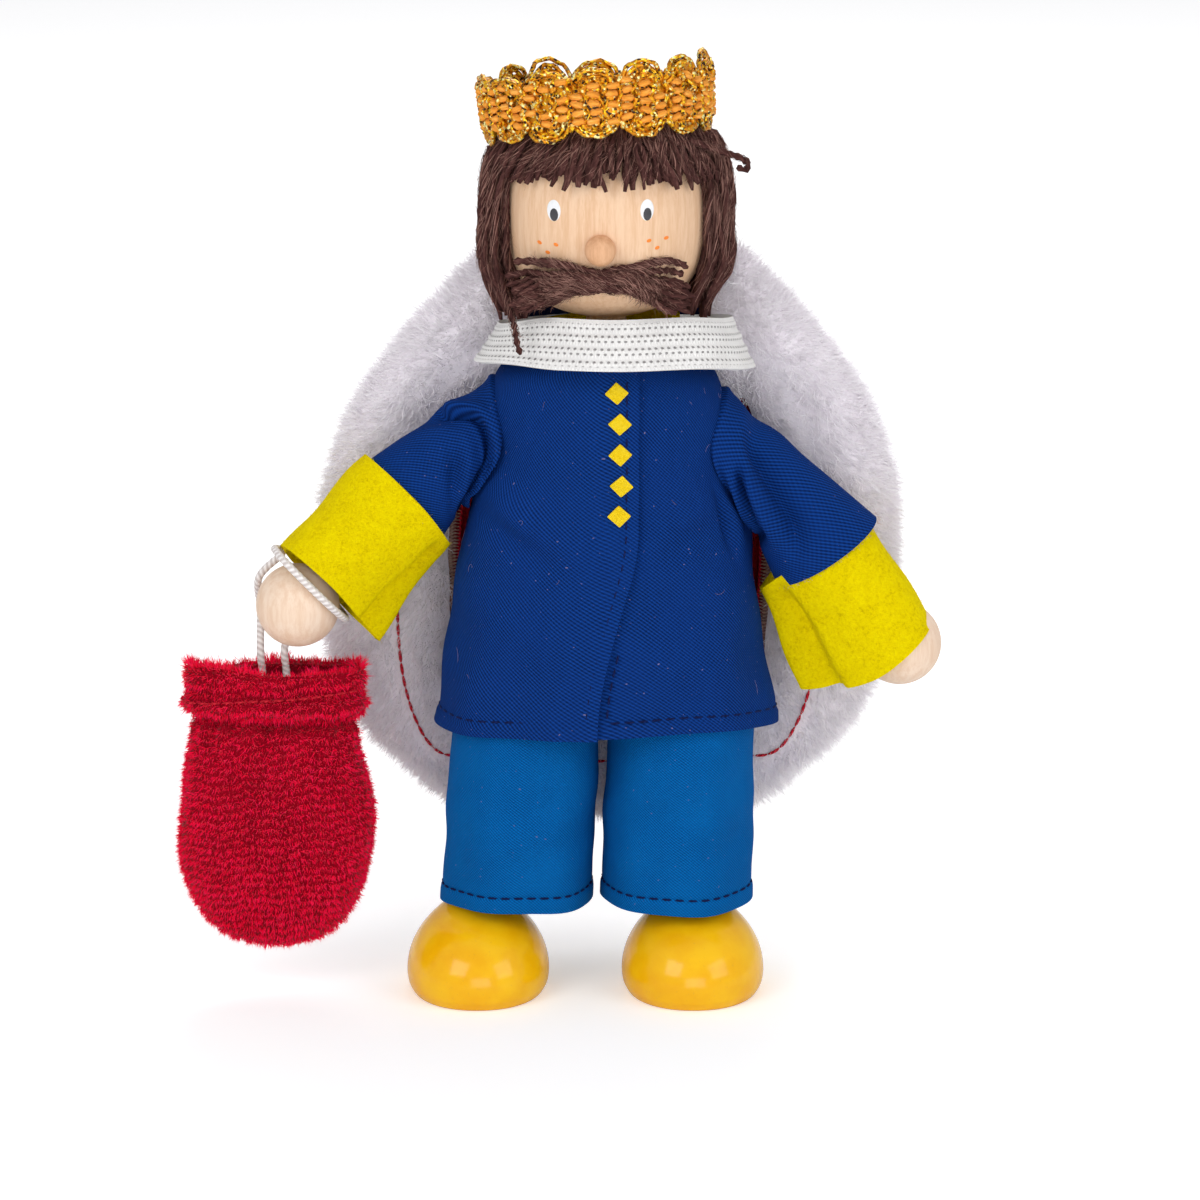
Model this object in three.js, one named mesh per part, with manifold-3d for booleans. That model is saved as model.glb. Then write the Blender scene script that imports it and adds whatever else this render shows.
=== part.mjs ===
// Bendable wooden dolls' house king: a turned torso, head, hands and feet on a wire frame,
// dressed in a sewn jacket and trousers, with an elastic-necked cape, a braid crown and a
// small pouch hung on the right wrist by its drawstring.
// Millimetres, +Z up. The doll faces -Y, so its right side is on -X.
import * as THREE from "three";
import { mergeVertices } from "three/addons/utils/BufferGeometryUtils.js";
import Module from "manifold-3d";

const wasm = await Module();
wasm.setup();

// Gaps and cloth
const fit = 0.3;
const cloth = 0.8;

// Torso, neck and wires
const torsoBottom = 44;
const torsoTop = 80.2;
const torsoHalfWidth = 11.3;
const torsoHalfDepth = 6.5;
const neckRadius = 2.5;
const neckSocketDepth = 5.2;
const wireRadius = 0.8;
const wireSocketDepth = 9;

// Head
const headRadius = 12.6;
const headHalfHeight = 13;
const headSquareness = 2.5;
const headCentre = 99.8;
const headBoreDepth = 7;
const noseRadius = 1.95;
const noseReach = 2.6;
const nosePegRadius = 1.1;
const nosePegLength = 4;
const noseDrop = 2.5;
const noseAside = -0.7;

// Hair and moustache
const hairThickness = 2.8;
const hairBottomRise = 2.8;
const fringeRise = 5.9;
const lockFront = 5;
const lockBack = 2.7;
const moustacheThickness = 2.6;
const moustacheReach = 10.4;
const moustacheDepth = 3;
const moustacheDroop = 4.6;

// Crown
const crownRadius = 13.3;
const crownThickness = 0.9;
const crownBand = 4.6;
const crownScallop = 1.5;
const crownScallops = 14;
const crownFlare = 0.5;
const crownRise = 9.1;
const crownTilt = -9;

// Arms
const rightShoulder = new THREE.Vector3(-12.6, 0, 73.5);
const leftShoulder = new THREE.Vector3(14.4, 0, 72);
const upperArmLength = 18.6;
const forearmLength = 16.2;
const armRadius = 2.5;
const handRadius = 5.2;
const handSocketDepth = 4.5;
const rightUpperArm = new THREE.Vector3(-0.77, -0.1, -0.63).normalize();
const rightForearm = new THREE.Vector3(-0.7, -0.15, -0.69).normalize();
const leftUpperArm = new THREE.Vector3(0.65, -0.09, -0.755).normalize();
const leftForearm = new THREE.Vector3(0.624, -0.1, -0.775).normalize();

// Legs
const hipHeight = 42;
const hipSpacing = 16;
const kneeHeight = 26;
const ankleHeight = 14;
const stanceSpacing = 27.1;
const stanceShift = -2.6;
const legRadius = 3.1;
const ankleRadius = 3.3;
const footHalfWidth = 8.95;
const footLength = 21;
const footToe = 13.3;
const footHeight = 10.9;
const footSoleInset = 0.8;
const footSocketDepth = 7;

// Jacket
const jacketHem = 35;
const jacketWaist = 52;
const jacketNeck = 82.3;
const hemHalfWidth = 21.1;
const hemHalfDepth = 11.2;
const waistHalfWidth = 18;
const waistHalfDepth = 10.2;
const chestHalfWidth = 14.9;
const chestHalfDepth = 9.8;
const neckHalfWidth = 9.4;
const neckHalfDepth = 9;
const jacketSquareness = 2.4;
const armholeRadius = 6.4;
const jacketRibs = 60;
const jacketChest = 70;
const jacketArmpit = 76;
const placketTop = 3.9;
const placketHem = -1;
const placketBreak = 62;
const diamondSize = 2.7;
const diamondThickness = 0.7;
const diamondCount = 5;
const diamondTop = 78.8;
const diamondPitch = 3.9;
const diamondInset = 2.3;

// Sleeves and cuffs
const sleeveHalfHeight = 6.9;
const sleeveDrop = 0.8;
const sleeveHalfDepth = 5.9;
const rightCuffLap = 2.6;
const leftCuffLap = -0.8;
const felt = 0.9;
const cuffTopRadius = 7.2;
const cuffTopDepth = 5.2;
const cuffMouthRadius = 6.8;
const cuffMouthDepth = 6.2;
const rightCuffFin = 4.2;
const leftCuffFin = 6.4;
const rightCuffPoint = 0.3;
const leftCuffPoint = -2.6;
const rightCuffEnd = 4;
const leftCuffEnd = 0.6;

// Trousers
const seatTop = 53;
const trouserHem = 11.5;
const legTopHalfWidth = 9.1;
const legTopHalfDepth = 8.5;
const legHemHalfWidth = 9.4;
const legHemHalfDepth = 8.9;
const legTopSpacing = 19.2;
const legHemSpacing = 20.2;
const legHemShift = -1.2;

// Neck band of felt and neck band of elastic
const bandRadius = 9;
const bandHeight = 3.8;
const elasticThickness = 0.9;
const elasticTopHalfWidth = 14.4;
const elasticTopHalfDepth = 10.9;
const elasticHemHalfWidth = 17.4;
const elasticHemHalfDepth = 13;
const elasticHeight = 6.2;
const elasticBase = 80.2;
const elasticShift = 1;
const elasticForward = 1;
const elasticTilt = -10.5;

// Cape
const capeThickness = 1;
const capeBack = 15;
const capeNeckBack = 12.3;
const capeNeckHeight = 85;
const capeCornerHeight = 89.5;
const capeHem = 20.5;
const capeHemCorner = 23.5;
const capeTopHalfWidth = 16.5;
const capeHalfWidth = 33.2;
const capeHemHalfWidth = 22;
const capeCurl = 4.4;
const capeFolds = 7;
const capeFoldDepth = 1.1;
const furFace = 12;
const furTurn = 5;
const furLoft = 2.7;
const furRoll = 2.6;

// Pouch and drawstring
const pouchHeight = 36;
const pouchRim = 5.4;
const pouchHalfWidth = 12.5;
const pouchNeckHalfWidth = 10.5;
const pouchRimHalfWidth = 11.4;
const pouchHalfDepth = 5.6;
const pouchNeckHalfDepth = 4.1;
const pouchWall = 1.1;
const pouchDrop = 8.4;
const pouchAside = 3;
const pouchForward = -1.4;
const pouchTilt = -4;
const cordRadius = 0.5;
const loopBack = 3;
const loopRadius = 5.35;
const loopTopRadius = 7;

const up = new THREE.Vector3(0, 0, 1);
const round = 20;

function vec(x, y, z) {
  return new THREE.Vector3(x, y, z);
}

function mix(a, b, t) {
  return a + (b - a) * t;
}

function ease(t) {
  const k = Math.min(1, Math.max(0, t));
  return k * k * (3 - 2 * k);
}

// A smooth curve through [position, value] rows, read at one position.
function curveThrough(rows) {
  return (at) => {
    const last = rows.length - 1;
    let k = 0;
    while (k < last - 1 && at > rows[k + 1][0]) {
      k += 1;
    }
    const slope = (i) => {
      const lo = Math.max(0, i - 1);
      const hi = Math.min(last, i + 1);
      return (rows[hi][1] - rows[lo][1]) / (rows[hi][0] - rows[lo][0]);
    };
    const span = rows[k + 1][0] - rows[k][0];
    const t = (at - rows[k][0]) / span;
    if (t < 0) {
      return rows[k][1] + slope(k) * (at - rows[k][0]);
    }
    if (t > 1) {
      return rows[k + 1][1] + slope(k + 1) * (at - rows[k + 1][0]);
    }
    const a = rows[k][1];
    const b = rows[k + 1][1];
    const m = slope(k) * span;
    const n = slope(k + 1) * span;
    const t2 = t * t;
    const t3 = t2 * t;
    return a * (2 * t3 - 3 * t2 + 1) + m * (t3 - 2 * t2 + t) + b * (3 * t2 - 2 * t3) + n * (t3 - t2);
  };
}

function power(value, exponent) {
  return Math.sign(value) * Math.pow(Math.abs(value), exponent);
}

// A point of a squared ellipse in a level plane.
function squareRound(halfWidth, halfDepth, squareness, angle, z) {
  const x = halfWidth * power(Math.cos(angle), 2 / squareness);
  const y = halfDepth * power(Math.sin(angle), 2 / squareness);
  return vec(x, y, z);
}

function outward(geometry) {
  const place = geometry.attributes.position;
  const index = geometry.index.array;
  const a = vec(0, 0, 0);
  const b = vec(0, 0, 0);
  const c = vec(0, 0, 0);
  let volume = 0;
  for (let i = 0; i < index.length; i += 3) {
    a.fromBufferAttribute(place, index[i]);
    b.fromBufferAttribute(place, index[i + 1]);
    c.fromBufferAttribute(place, index[i + 2]);
    volume += a.dot(b.cross(c));
  }
  if (volume < 0) {
    for (let i = 0; i < index.length; i += 3) {
      const keep = index[i + 1];
      index[i + 1] = index[i + 2];
      index[i + 2] = keep;
    }
  }
  return geometry;
}

// Merge shared corners, drop empty triangles and face everything out.
function closed(geometry) {
  const bare = new THREE.BufferGeometry();
  bare.setAttribute("position", geometry.attributes.position.clone());
  if (geometry.index) {
    bare.setIndex(Array.from(geometry.index.array));
  }
  const merged = mergeVertices(bare, 1e-4);
  const source = merged.index.array;
  const kept = [];
  for (let i = 0; i < source.length; i += 3) {
    const [p, q, r] = [source[i], source[i + 1], source[i + 2]];
    if (p !== q && q !== r && r !== p) {
      kept.push(p, q, r);
    }
  }
  merged.setIndex(kept);
  return outward(merged);
}

function toSolid(geometry) {
  const clean = closed(geometry);
  const mesh = new wasm.Mesh({
    numProp: 3,
    vertProperties: new Float32Array(clean.attributes.position.array),
    triVerts: new Uint32Array(clean.index.array),
  });
  return new wasm.Manifold(mesh);
}

function fromSolid(solid) {
  const mesh = solid.getMesh();
  const geometry = new THREE.BufferGeometry();
  geometry.setAttribute("position", new THREE.Float32BufferAttribute(mesh.vertProperties, 3));
  geometry.setIndex(Array.from(mesh.triVerts));
  return geometry;
}

function cut(geometry, ...tools) {
  let solid = toSolid(geometry);
  for (const tool of tools) {
    solid = solid.subtract(toSolid(tool));
  }
  return fromSolid(solid);
}

function common(geometry, ...tools) {
  let solid = toSolid(geometry);
  for (const tool of tools) {
    solid = solid.intersect(toSolid(tool));
  }
  return fromSolid(solid);
}

function box(minX, maxX, minY, maxY, minZ, maxZ) {
  const block = new THREE.BoxGeometry(maxX - minX, maxY - minY, maxZ - minZ);
  block.translate((minX + maxX) / 2, (minY + maxY) / 2, (minZ + maxZ) / 2);
  return block;
}

// A turned piece: profile rows of [radius, height] spun about Z.
function turned(profile, sides = round) {
  const points = profile.map(([r, z]) => new THREE.Vector2(r, z));
  const lathe = new THREE.LatheGeometry(points, sides);
  lathe.rotateX(Math.PI / 2);
  return closed(lathe);
}

// Turn a piece made along +Z to run along a direction from a start point.
function aim(geometry, start, direction) {
  const turn = new THREE.Quaternion().setFromUnitVectors(up, direction.clone().normalize());
  geometry.applyQuaternion(turn);
  geometry.translate(start.x, start.y, start.z);
  return geometry;
}

function rod(start, end, radius, sides = 8) {
  const direction = end.clone().sub(start);
  const length = direction.length();
  const bar = turned([[0, 0], [radius, 0], [radius, length], [0, length]], sides);
  return aim(bar, start, direction);
}

// A wire with a flat start and a round end, whose ball is centred on the end point.
function wire(start, end, ballStart = false) {
  const direction = end.clone().sub(start);
  const length = direction.length();
  const r = wireRadius;
  const profile = ballStart ? [[0, -r], [r * 0.7, -r * 0.7], [r, 0]] : [[0, 0], [r, 0]];
  profile.push([r, length], [r * 0.7, length + r * 0.7], [0, length + r]);
  return aim(turned(profile, 8), start, direction);
}

// A padded limb: a rounded bar with a bore for its wire.
function limb(start, end, radius, bore) {
  const direction = end.clone().sub(start);
  const length = direction.length();
  const shoulder = radius * 0.55;
  const profile = [
    [bore, 0],
    [mix(bore, radius, 0.6), 0],
    [radius, shoulder],
    [radius, length - shoulder],
    [mix(bore, radius, 0.6), length],
    [bore, length],
    [bore, 0],
  ];
  return aim(turned(profile, 10), start, direction);
}

// A cloth panel: an outer and an inner face on one grid, joined along its edges.
function panel(columns, rows, outer, inner, ring = false) {
  const positions = [];
  const index = [];
  const across = ring ? columns : columns + 1;
  for (const face of [outer, inner]) {
    for (let j = 0; j <= rows; j += 1) {
      for (let i = 0; i < across; i += 1) {
        const point = face(i / columns, j / rows);
        positions.push(point.x, point.y, point.z);
      }
    }
  }
  const layer = across * (rows + 1);
  const at = (k, i, j) => k * layer + j * across + (ring ? i % columns : i);
  const quad = (a, b, c, d) => index.push(a, b, c, a, c, d);
  for (let j = 0; j < rows; j += 1) {
    for (let i = 0; i < columns; i += 1) {
      quad(at(0, i, j), at(0, i + 1, j), at(0, i + 1, j + 1), at(0, i, j + 1));
      quad(at(1, i, j), at(1, i, j + 1), at(1, i + 1, j + 1), at(1, i + 1, j));
    }
  }
  for (let i = 0; i < columns; i += 1) {
    quad(at(0, i + 1, 0), at(0, i, 0), at(1, i, 0), at(1, i + 1, 0));
    quad(at(0, i, rows), at(0, i + 1, rows), at(1, i + 1, rows), at(1, i, rows));
  }
  for (let j = 0; j < rows && !ring; j += 1) {
    quad(at(0, 0, j), at(0, 0, j + 1), at(1, 0, j + 1), at(1, 0, j));
    quad(at(0, columns, j + 1), at(0, columns, j), at(1, columns, j), at(1, columns, j + 1));
  }
  const geometry = new THREE.BufferGeometry();
  geometry.setAttribute("position", new THREE.Float32BufferAttribute(positions, 3));
  geometry.setIndex(index);
  return outward(geometry);
}

// A body drawn through rings of points, closed by a fan at each end, or by the section's own
// triangles where the section is hollow.
function loft(rings, section = null) {
  const count = rings[0].length;
  const positions = [];
  const index = [];
  for (const ring of rings) {
    for (const point of ring) {
      positions.push(point.x, point.y, point.z);
    }
  }
  for (let j = 0; j < rings.length - 1; j += 1) {
    for (let i = 0; i < count; i += 1) {
      const a = j * count + i;
      const b = j * count + ((i + 1) % count);
      index.push(a, b, b + count, a, b + count, a + count);
    }
  }
  const ends = section ? [] : [rings[0], rings[rings.length - 1]];
  if (section) {
    const outline = section.map(([x, y]) => new THREE.Vector2(x, y));
    const base = (rings.length - 1) * count;
    const spin = THREE.ShapeUtils.area(outline) > 0 ? 1 : -1;
    for (const [a, b, c] of THREE.ShapeUtils.triangulateShape(outline, [])) {
      const [p, q] = spin > 0 ? [b, c] : [c, b];
      index.push(a, q, p, base + a, base + p, base + q);
    }
  }
  ends.forEach((ring, k) => {
    const middle = vec(0, 0, 0);
    ring.forEach((point) => middle.addScaledVector(point, 1 / count));
    const hub = positions.length / 3;
    positions.push(middle.x, middle.y, middle.z);
    const base = k * (rings.length - 1) * count;
    for (let i = 0; i < count; i += 1) {
      const a = base + i;
      const b = base + ((i + 1) % count);
      if (k === 0) {
        index.push(hub, b, a);
      } else {
        index.push(hub, a, b);
      }
    }
  });
  const geometry = new THREE.BufferGeometry();
  geometry.setAttribute("position", new THREE.Float32BufferAttribute(positions, 3));
  geometry.setIndex(index);
  return outward(geometry);
}

const doll = new THREE.Group();

function add(name, geometry, color, roughness, metalness = 0) {
  const shown = closed(geometry);
  shown.computeVertexNormals();
  const material = new THREE.MeshStandardMaterial({ color, roughness, metalness });
  const mesh = new THREE.Mesh(shown, material);
  mesh.name = name;
  doll.add(mesh);
  return mesh;
}

const wood = 0xe6b98c;
const wrap = 0xd8cfc0;
const steel = 0x9a9a9a;
const yellow = 0xf2de12;
const shoe = 0xffc400;
const navy = 0x16308a;
const blue = 0x0465a8;
const white = 0xf2f0ee;
const red = 0xb00f1c;
const brown = 0x3a2422;
const gold = 0xd9a04a;

// Jacket shape: half width and half depth at each height.
const shoulderDrop = jacketNeck - 3.4;
const jacketWidth = curveThrough([
  [jacketHem, hemHalfWidth],
  [jacketWaist, waistHalfWidth + 0.7],
  [jacketRibs, waistHalfWidth - 0.3],
  [jacketChest, chestHalfWidth],
  [jacketArmpit, chestHalfWidth - 0.3],
  [shoulderDrop, chestHalfWidth - 1.2],
  [jacketNeck - 1.5, neckHalfWidth + 2.7],
  [jacketNeck, neckHalfWidth],
]);
const jacketDepth = curveThrough([
  [jacketHem, hemHalfDepth],
  [jacketWaist, waistHalfDepth],
  [jacketChest, chestHalfDepth],
  [shoulderDrop, chestHalfDepth - 0.5],
  [jacketNeck, neckHalfDepth],
]);

function jacketPoint(angle, z, inset) {
  const ripple = 0.35 * ease((58 - z) / 20) * Math.cos(angle * 8);
  const halfWidth = jacketWidth(z) - inset + ripple;
  const halfDepth = jacketDepth(z) - inset + ripple;
  return squareRound(halfWidth, halfDepth, jacketSquareness, angle, z);
}

// Angle at which the jacket's front reaches a given sideways place.
function frontAngle(x, z) {
  const share = Math.min(0.999, Math.abs(x) / jacketWidth(z));
  const turn = Math.acos(Math.pow(share, jacketSquareness / 2));
  return x < 0 ? Math.PI + turn : 2 * Math.PI - turn;
}

function jacketSide(y, z) {
  const share = Math.min(0.98, Math.abs(y) / jacketDepth(z));
  return jacketWidth(z) * Math.pow(1 - Math.pow(share, jacketSquareness), 1 / jacketSquareness);
}

// Torso block
const torsoRows = [
  [torsoBottom, 0.9],
  [torsoBottom + 1, 1],
  [mix(torsoBottom, torsoTop, 0.5), 0.97],
  [torsoTop - 8, 1],
  [torsoTop - 2, 1],
  [torsoTop, 0.95],
];
const torsoRings = torsoRows.map(([z, share]) => {
  const halfWidth = Math.min(torsoHalfWidth * share, jacketWidth(z) - cloth - fit - 0.3);
  const halfDepth = torsoHalfDepth * share;
  const ring = [];
  for (let i = 0; i < round; i += 1) {
    ring.push(squareRound(halfWidth, halfDepth, 2.6, (i / round) * 2 * Math.PI, z));
  }
  return ring;
});
const neckFoot = torsoTop - neckSocketDepth;
const wireBore = wireRadius + fit;
const shoulderLine = leftShoulder.clone().sub(rightShoulder).normalize();
const legSides = [
  ["right", -1],
  ["left", 1],
];
const legTools = legSides.map(([, sign]) => {
  const foot = vec((sign * hipSpacing) / 2, 0, torsoBottom - 3);
  const head = vec((sign * hipSpacing) / 2, 0, torsoBottom + wireSocketDepth + fit);
  return rod(foot, head, wireBore);
});
const armTool = rod(
  rightShoulder.clone().addScaledVector(shoulderLine, -6),
  leftShoulder.clone().addScaledVector(shoulderLine, 6),
  wireBore,
);
const neckTool = rod(vec(0, 0, neckFoot), vec(0, 0, torsoTop + 4), neckRadius + fit, 16);
add("torso_block", cut(loft(torsoRings), armTool, neckTool, ...legTools), wood, 0.6);

// Each wire ends in a ball on the bend, and the next one starts just off that ball.
const bend = wireRadius + fit;
add("shoulder_wire", wire(rightShoulder, leftShoulder, true), steel, 0.4, 1);
const headFoot = headCentre - headHalfHeight;
const boreTop = headFoot + headBoreDepth;
add("neck_dowel", rod(vec(0, 0, neckFoot + fit), vec(0, 0, boreTop - fit), neckRadius, 16), wood, 0.6);

// Head: a turned ball, a little square in profile, bored for the neck.
function headProfile(grow, steps) {
  const rows = [];
  for (let i = 0; i <= steps; i += 1) {
    const t = -Math.PI / 2 + (Math.PI * i) / steps;
    const r = (headRadius + grow) * power(Math.cos(t), 2 / headSquareness);
    const z = headCentre + (headHalfHeight + grow) * power(Math.sin(t), 2 / headSquareness);
    rows.push([Math.max(0, r), z]);
  }
  return rows;
}
const headBore = neckRadius + fit;
const headRows = headProfile(0, 15).filter(([r, z]) => r > headBore + 0.4 || z > headCentre);
const headTurning = [[0, boreTop], [headBore, boreTop], [headBore, headRows[0][1] - 0.1], ...headRows];
headTurning[headTurning.length - 1][0] = 0;
const noseHeight = headCentre - noseDrop;
const noseFace = headRadius * Math.pow(1 - Math.pow(noseDrop / headHalfHeight, headSquareness), 1 / headSquareness);
const noseTool = rod(
  vec(noseAside, -noseFace - 3, noseHeight),
  vec(noseAside, -noseFace + nosePegLength + fit, noseHeight),
  nosePegRadius + fit,
  12,
);
add("head", cut(turned(headTurning, 24), noseTool), wood, 0.5);

const noseDome = [
  [0, -nosePegLength],
  [nosePegRadius, -nosePegLength],
  [nosePegRadius, fit],
  [noseRadius * 0.95, fit],
  [noseRadius, noseReach * 0.45],
  [noseRadius * 0.75, noseReach * 0.85],
  [noseRadius * 0.4, noseReach * 0.97],
  [0, noseReach],
];
add("nose", aim(turned(noseDome, 14), vec(noseAside, -noseFace, noseHeight), vec(0, -1, 0)), wood, 0.5);

// Hair: a shell of yarn over the crown of the head that falls straight at the sides.
const hairGap = fit + 0.05;
const hairBottom = headFoot + hairBottomRise;
const hairOuter = headProfile(hairThickness + 0.1, 12).filter(([, z]) => z >= headCentre);
const hairInner = headProfile(hairGap, 12).filter(([, z]) => z >= headCentre);
const hairShell = [
  [headRadius - 0.3, hairBottom],
  [headRadius + hairThickness - 0.8, hairBottom],
  ...hairOuter,
  ...hairInner.reverse(),
  [headRadius - 0.3, hairBottom],
];
hairShell[1 + hairOuter.length][0] = 0;
hairShell[2 + hairOuter.length][0] = 0;
const hair = turned(hairShell, 26);
const crownPlane = headCentre + crownRise;
function crownTurn(geometry) {
  geometry.rotateX(THREE.MathUtils.degToRad(crownTilt));
  geometry.translate(0, 0, crownPlane);
  return geometry;
}
const seatRadius = crownRadius - crownThickness / 2 - fit - 0.05;
const crownSeat = crownTurn(
  turned([
    [seatRadius, -fit - 0.1],
    [40, -fit - 0.1],
    [40, 30],
    [seatRadius, 30],
    [seatRadius, -fit - 0.1],
  ], 26),
);
const far = 60;
const top = headCentre + far;
const lockMiddle = fit / 2;
const hairPressed = cut(hair, crownSeat);
add("hair_back", common(hairPressed, box(-far, far, lockBack + fit, far, 0, top)), brown, 0.95);
add(
  "hair_fringe",
  common(hairPressed, box(-far, far, -far, -lockFront - fit, headCentre + fringeRise, top)),
  brown,
  0.95,
);
add("hair_lock_right", common(hairPressed, box(-far, -lockMiddle, -lockFront, lockBack, 0, top)), brown, 0.95);
add("hair_lock_left", common(hairPressed, box(lockMiddle, far, -lockFront, lockBack, 0, top)), brown, 0.95);

// Moustache: a drooping outline cut from a shell that lies on the face.
const lipHeight = noseHeight - noseRadius - fit - 0.1;
const halfOutline = [
  [0, 0],
  [0.3 * moustacheReach, 0.5],
  [0.65 * moustacheReach, -0.12 * moustacheDroop],
  [0.92 * moustacheReach, -0.45 * moustacheDroop],
  [moustacheReach, -0.85 * moustacheDroop],
  [0.94 * moustacheReach, -1.25 * moustacheDroop],
  [0.6 * moustacheReach, -1.08 * moustacheDroop],
  [0.3 * moustacheReach, -moustacheDepth - 0.7],
  [0, -moustacheDepth],
];
const outline = new THREE.Shape();
outline.moveTo(halfOutline[0][0], lipHeight + halfOutline[0][1]);
for (const [x, z] of halfOutline.slice(1)) {
  outline.lineTo(x, lipHeight + z);
}
for (const [x, z] of halfOutline.slice(1, -1).reverse()) {
  outline.lineTo(-x, lipHeight + z);
}
const lipBlock = new THREE.ExtrudeGeometry(outline, { depth: 30, bevelEnabled: false });
lipBlock.rotateX(Math.PI / 2);
lipBlock.translate(noseAside, 0, 0);
const lipOuter = turned(headProfile(moustacheThickness + hairGap, 12), 26);
const lipInner = turned(headProfile(hairGap, 12), 26);
add("moustache", cut(common(lipOuter, lipBlock), lipInner), brown, 0.95);

// Crown: a flared ring of braid with scallops along both edges.
const crownSegments = crownScallops * 4;
function crownPoint(turn, t, radius) {
  const wave = Math.abs(Math.sin((turn * crownScallops) / 2));
  const low = crownScallop * (1 - wave);
  const high = crownScallop * (1 + wave) + crownBand;
  const z = mix(low, high, t);
  const r = radius + (crownFlare * z) / (crownBand + 2 * crownScallop);
  return vec(r * Math.cos(turn), r * Math.sin(turn), z);
}
const crown = panel(
  crownSegments,
  1,
  (u, v) => crownPoint(u * 2 * Math.PI, v, crownRadius + crownThickness / 2),
  (u, v) => crownPoint(u * 2 * Math.PI, v, crownRadius - crownThickness / 2),
  true,
);
add("crown", crownTurn(crown), gold, 0.45, 0.3);

// Jacket panels
const tau = Math.PI * 2;
function jacketPanel(columns, rows, from, to, low, high) {
  const face = (inset) => (u, v) => {
    const z = mix(low, high, 1 - Math.pow(1 - v, 1.5));
    return jacketPoint(mix(from(z), to(z), u), z, inset);
  };
  return panel(columns, rows, face(0), face(cloth));
}
const seam = fit / 2;
const backStart = (z) => seam / jacketDepth(z);
const backEnd = (z) => Math.PI - seam / jacketDepth(z);
const frontStart = (z) => Math.PI + seam / jacketDepth(z);
const frontEnd = (z) => tau - seam / jacketDepth(z);
const placket = (z) => {
  const share = Math.min(1, Math.max(0, (z - jacketHem) / (placketBreak - jacketHem)));
  return mix(placketHem, placketTop, share);
};
const placketRight = (z) => frontAngle(placket(z), z);
const placketLeft = (z) => frontAngle(placket(z) + fit + 0.05, z);
const armholes = [rightShoulder, leftShoulder].map((pivot) => {
  const inner = vec(pivot.x * 0.6, 0, pivot.z);
  const outer = vec(pivot.x * 2.2, 0, pivot.z);
  return rod(inner, outer, armholeRadius, 16);
});
const upperLow = jacketWaist + fit;
add("jacket_back", cut(jacketPanel(12, 9, backStart, backEnd, jacketHem, jacketNeck), ...armholes), navy, 0.9);
add(
  "jacket_front_right",
  cut(jacketPanel(8, 7, frontStart, placketRight, upperLow, jacketNeck), armholes[0]),
  navy,
  0.9,
);
add(
  "jacket_front_left",
  cut(jacketPanel(6, 7, placketLeft, frontEnd, upperLow, jacketNeck), armholes[1]),
  navy,
  0.9,
);
add("jacket_skirt_right", jacketPanel(10, 3, frontStart, placketRight, jacketHem, jacketWaist), navy, 0.9);
add("jacket_skirt_left", jacketPanel(10, 3, placketLeft, frontEnd, jacketHem, jacketWaist), navy, 0.9);

// Flat diamonds down the right front, just beside its edge.
for (let i = 0; i < diamondCount; i += 1) {
  const z = diamondTop - diamondPitch * i;
  const half = diamondSize / 2;
  const lozenge = new THREE.Shape();
  lozenge.moveTo(half, 0);
  lozenge.lineTo(0, half);
  lozenge.lineTo(-half, 0);
  lozenge.lineTo(0, -half);
  lozenge.closePath();
  const tile = new THREE.ExtrudeGeometry(lozenge, { depth: diamondThickness, bevelEnabled: false });
  tile.rotateX(Math.PI / 2);
  const lowest = Math.max(jacketDepth(z - half), jacketDepth(z), jacketDepth(z + half));
  tile.translate(placket(z) - diamondInset, -lowest - fit, z);
  add(`diamond_${i + 1}`, tile, yellow, 0.8);
}

// Neck band of felt, standing in the jacket's neck.
const bandFoot = jacketNeck + fit;
add(
  "felt_collar",
  turned([
    [bandRadius - felt, bandFoot],
    [bandRadius, bandFoot],
    [bandRadius, bandFoot + bandHeight],
    [bandRadius - felt, bandFoot + bandHeight],
    [bandRadius - felt, bandFoot],
  ], 24),
  yellow,
  0.9,
);

// Elastic band: an oval cone that lies round the neck, its front raised.
function elasticPoint(inset) {
  return (u, v) => {
    const halfWidth = mix(elasticHemHalfWidth, elasticTopHalfWidth, v) - inset;
    const halfDepth = mix(elasticHemHalfDepth, elasticTopHalfDepth, v) - inset;
    const point = vec(halfWidth * Math.cos(u * tau), halfDepth * Math.sin(u * tau), v * elasticHeight);
    point.applyAxisAngle(vec(1, 0, 0), THREE.MathUtils.degToRad(elasticTilt));
    return point.add(vec(elasticShift, -elasticForward, elasticBase));
  };
}
add("neck_elastic", panel(28, 2, elasticPoint(0), elasticPoint(elasticThickness), true), white, 0.85);

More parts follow.
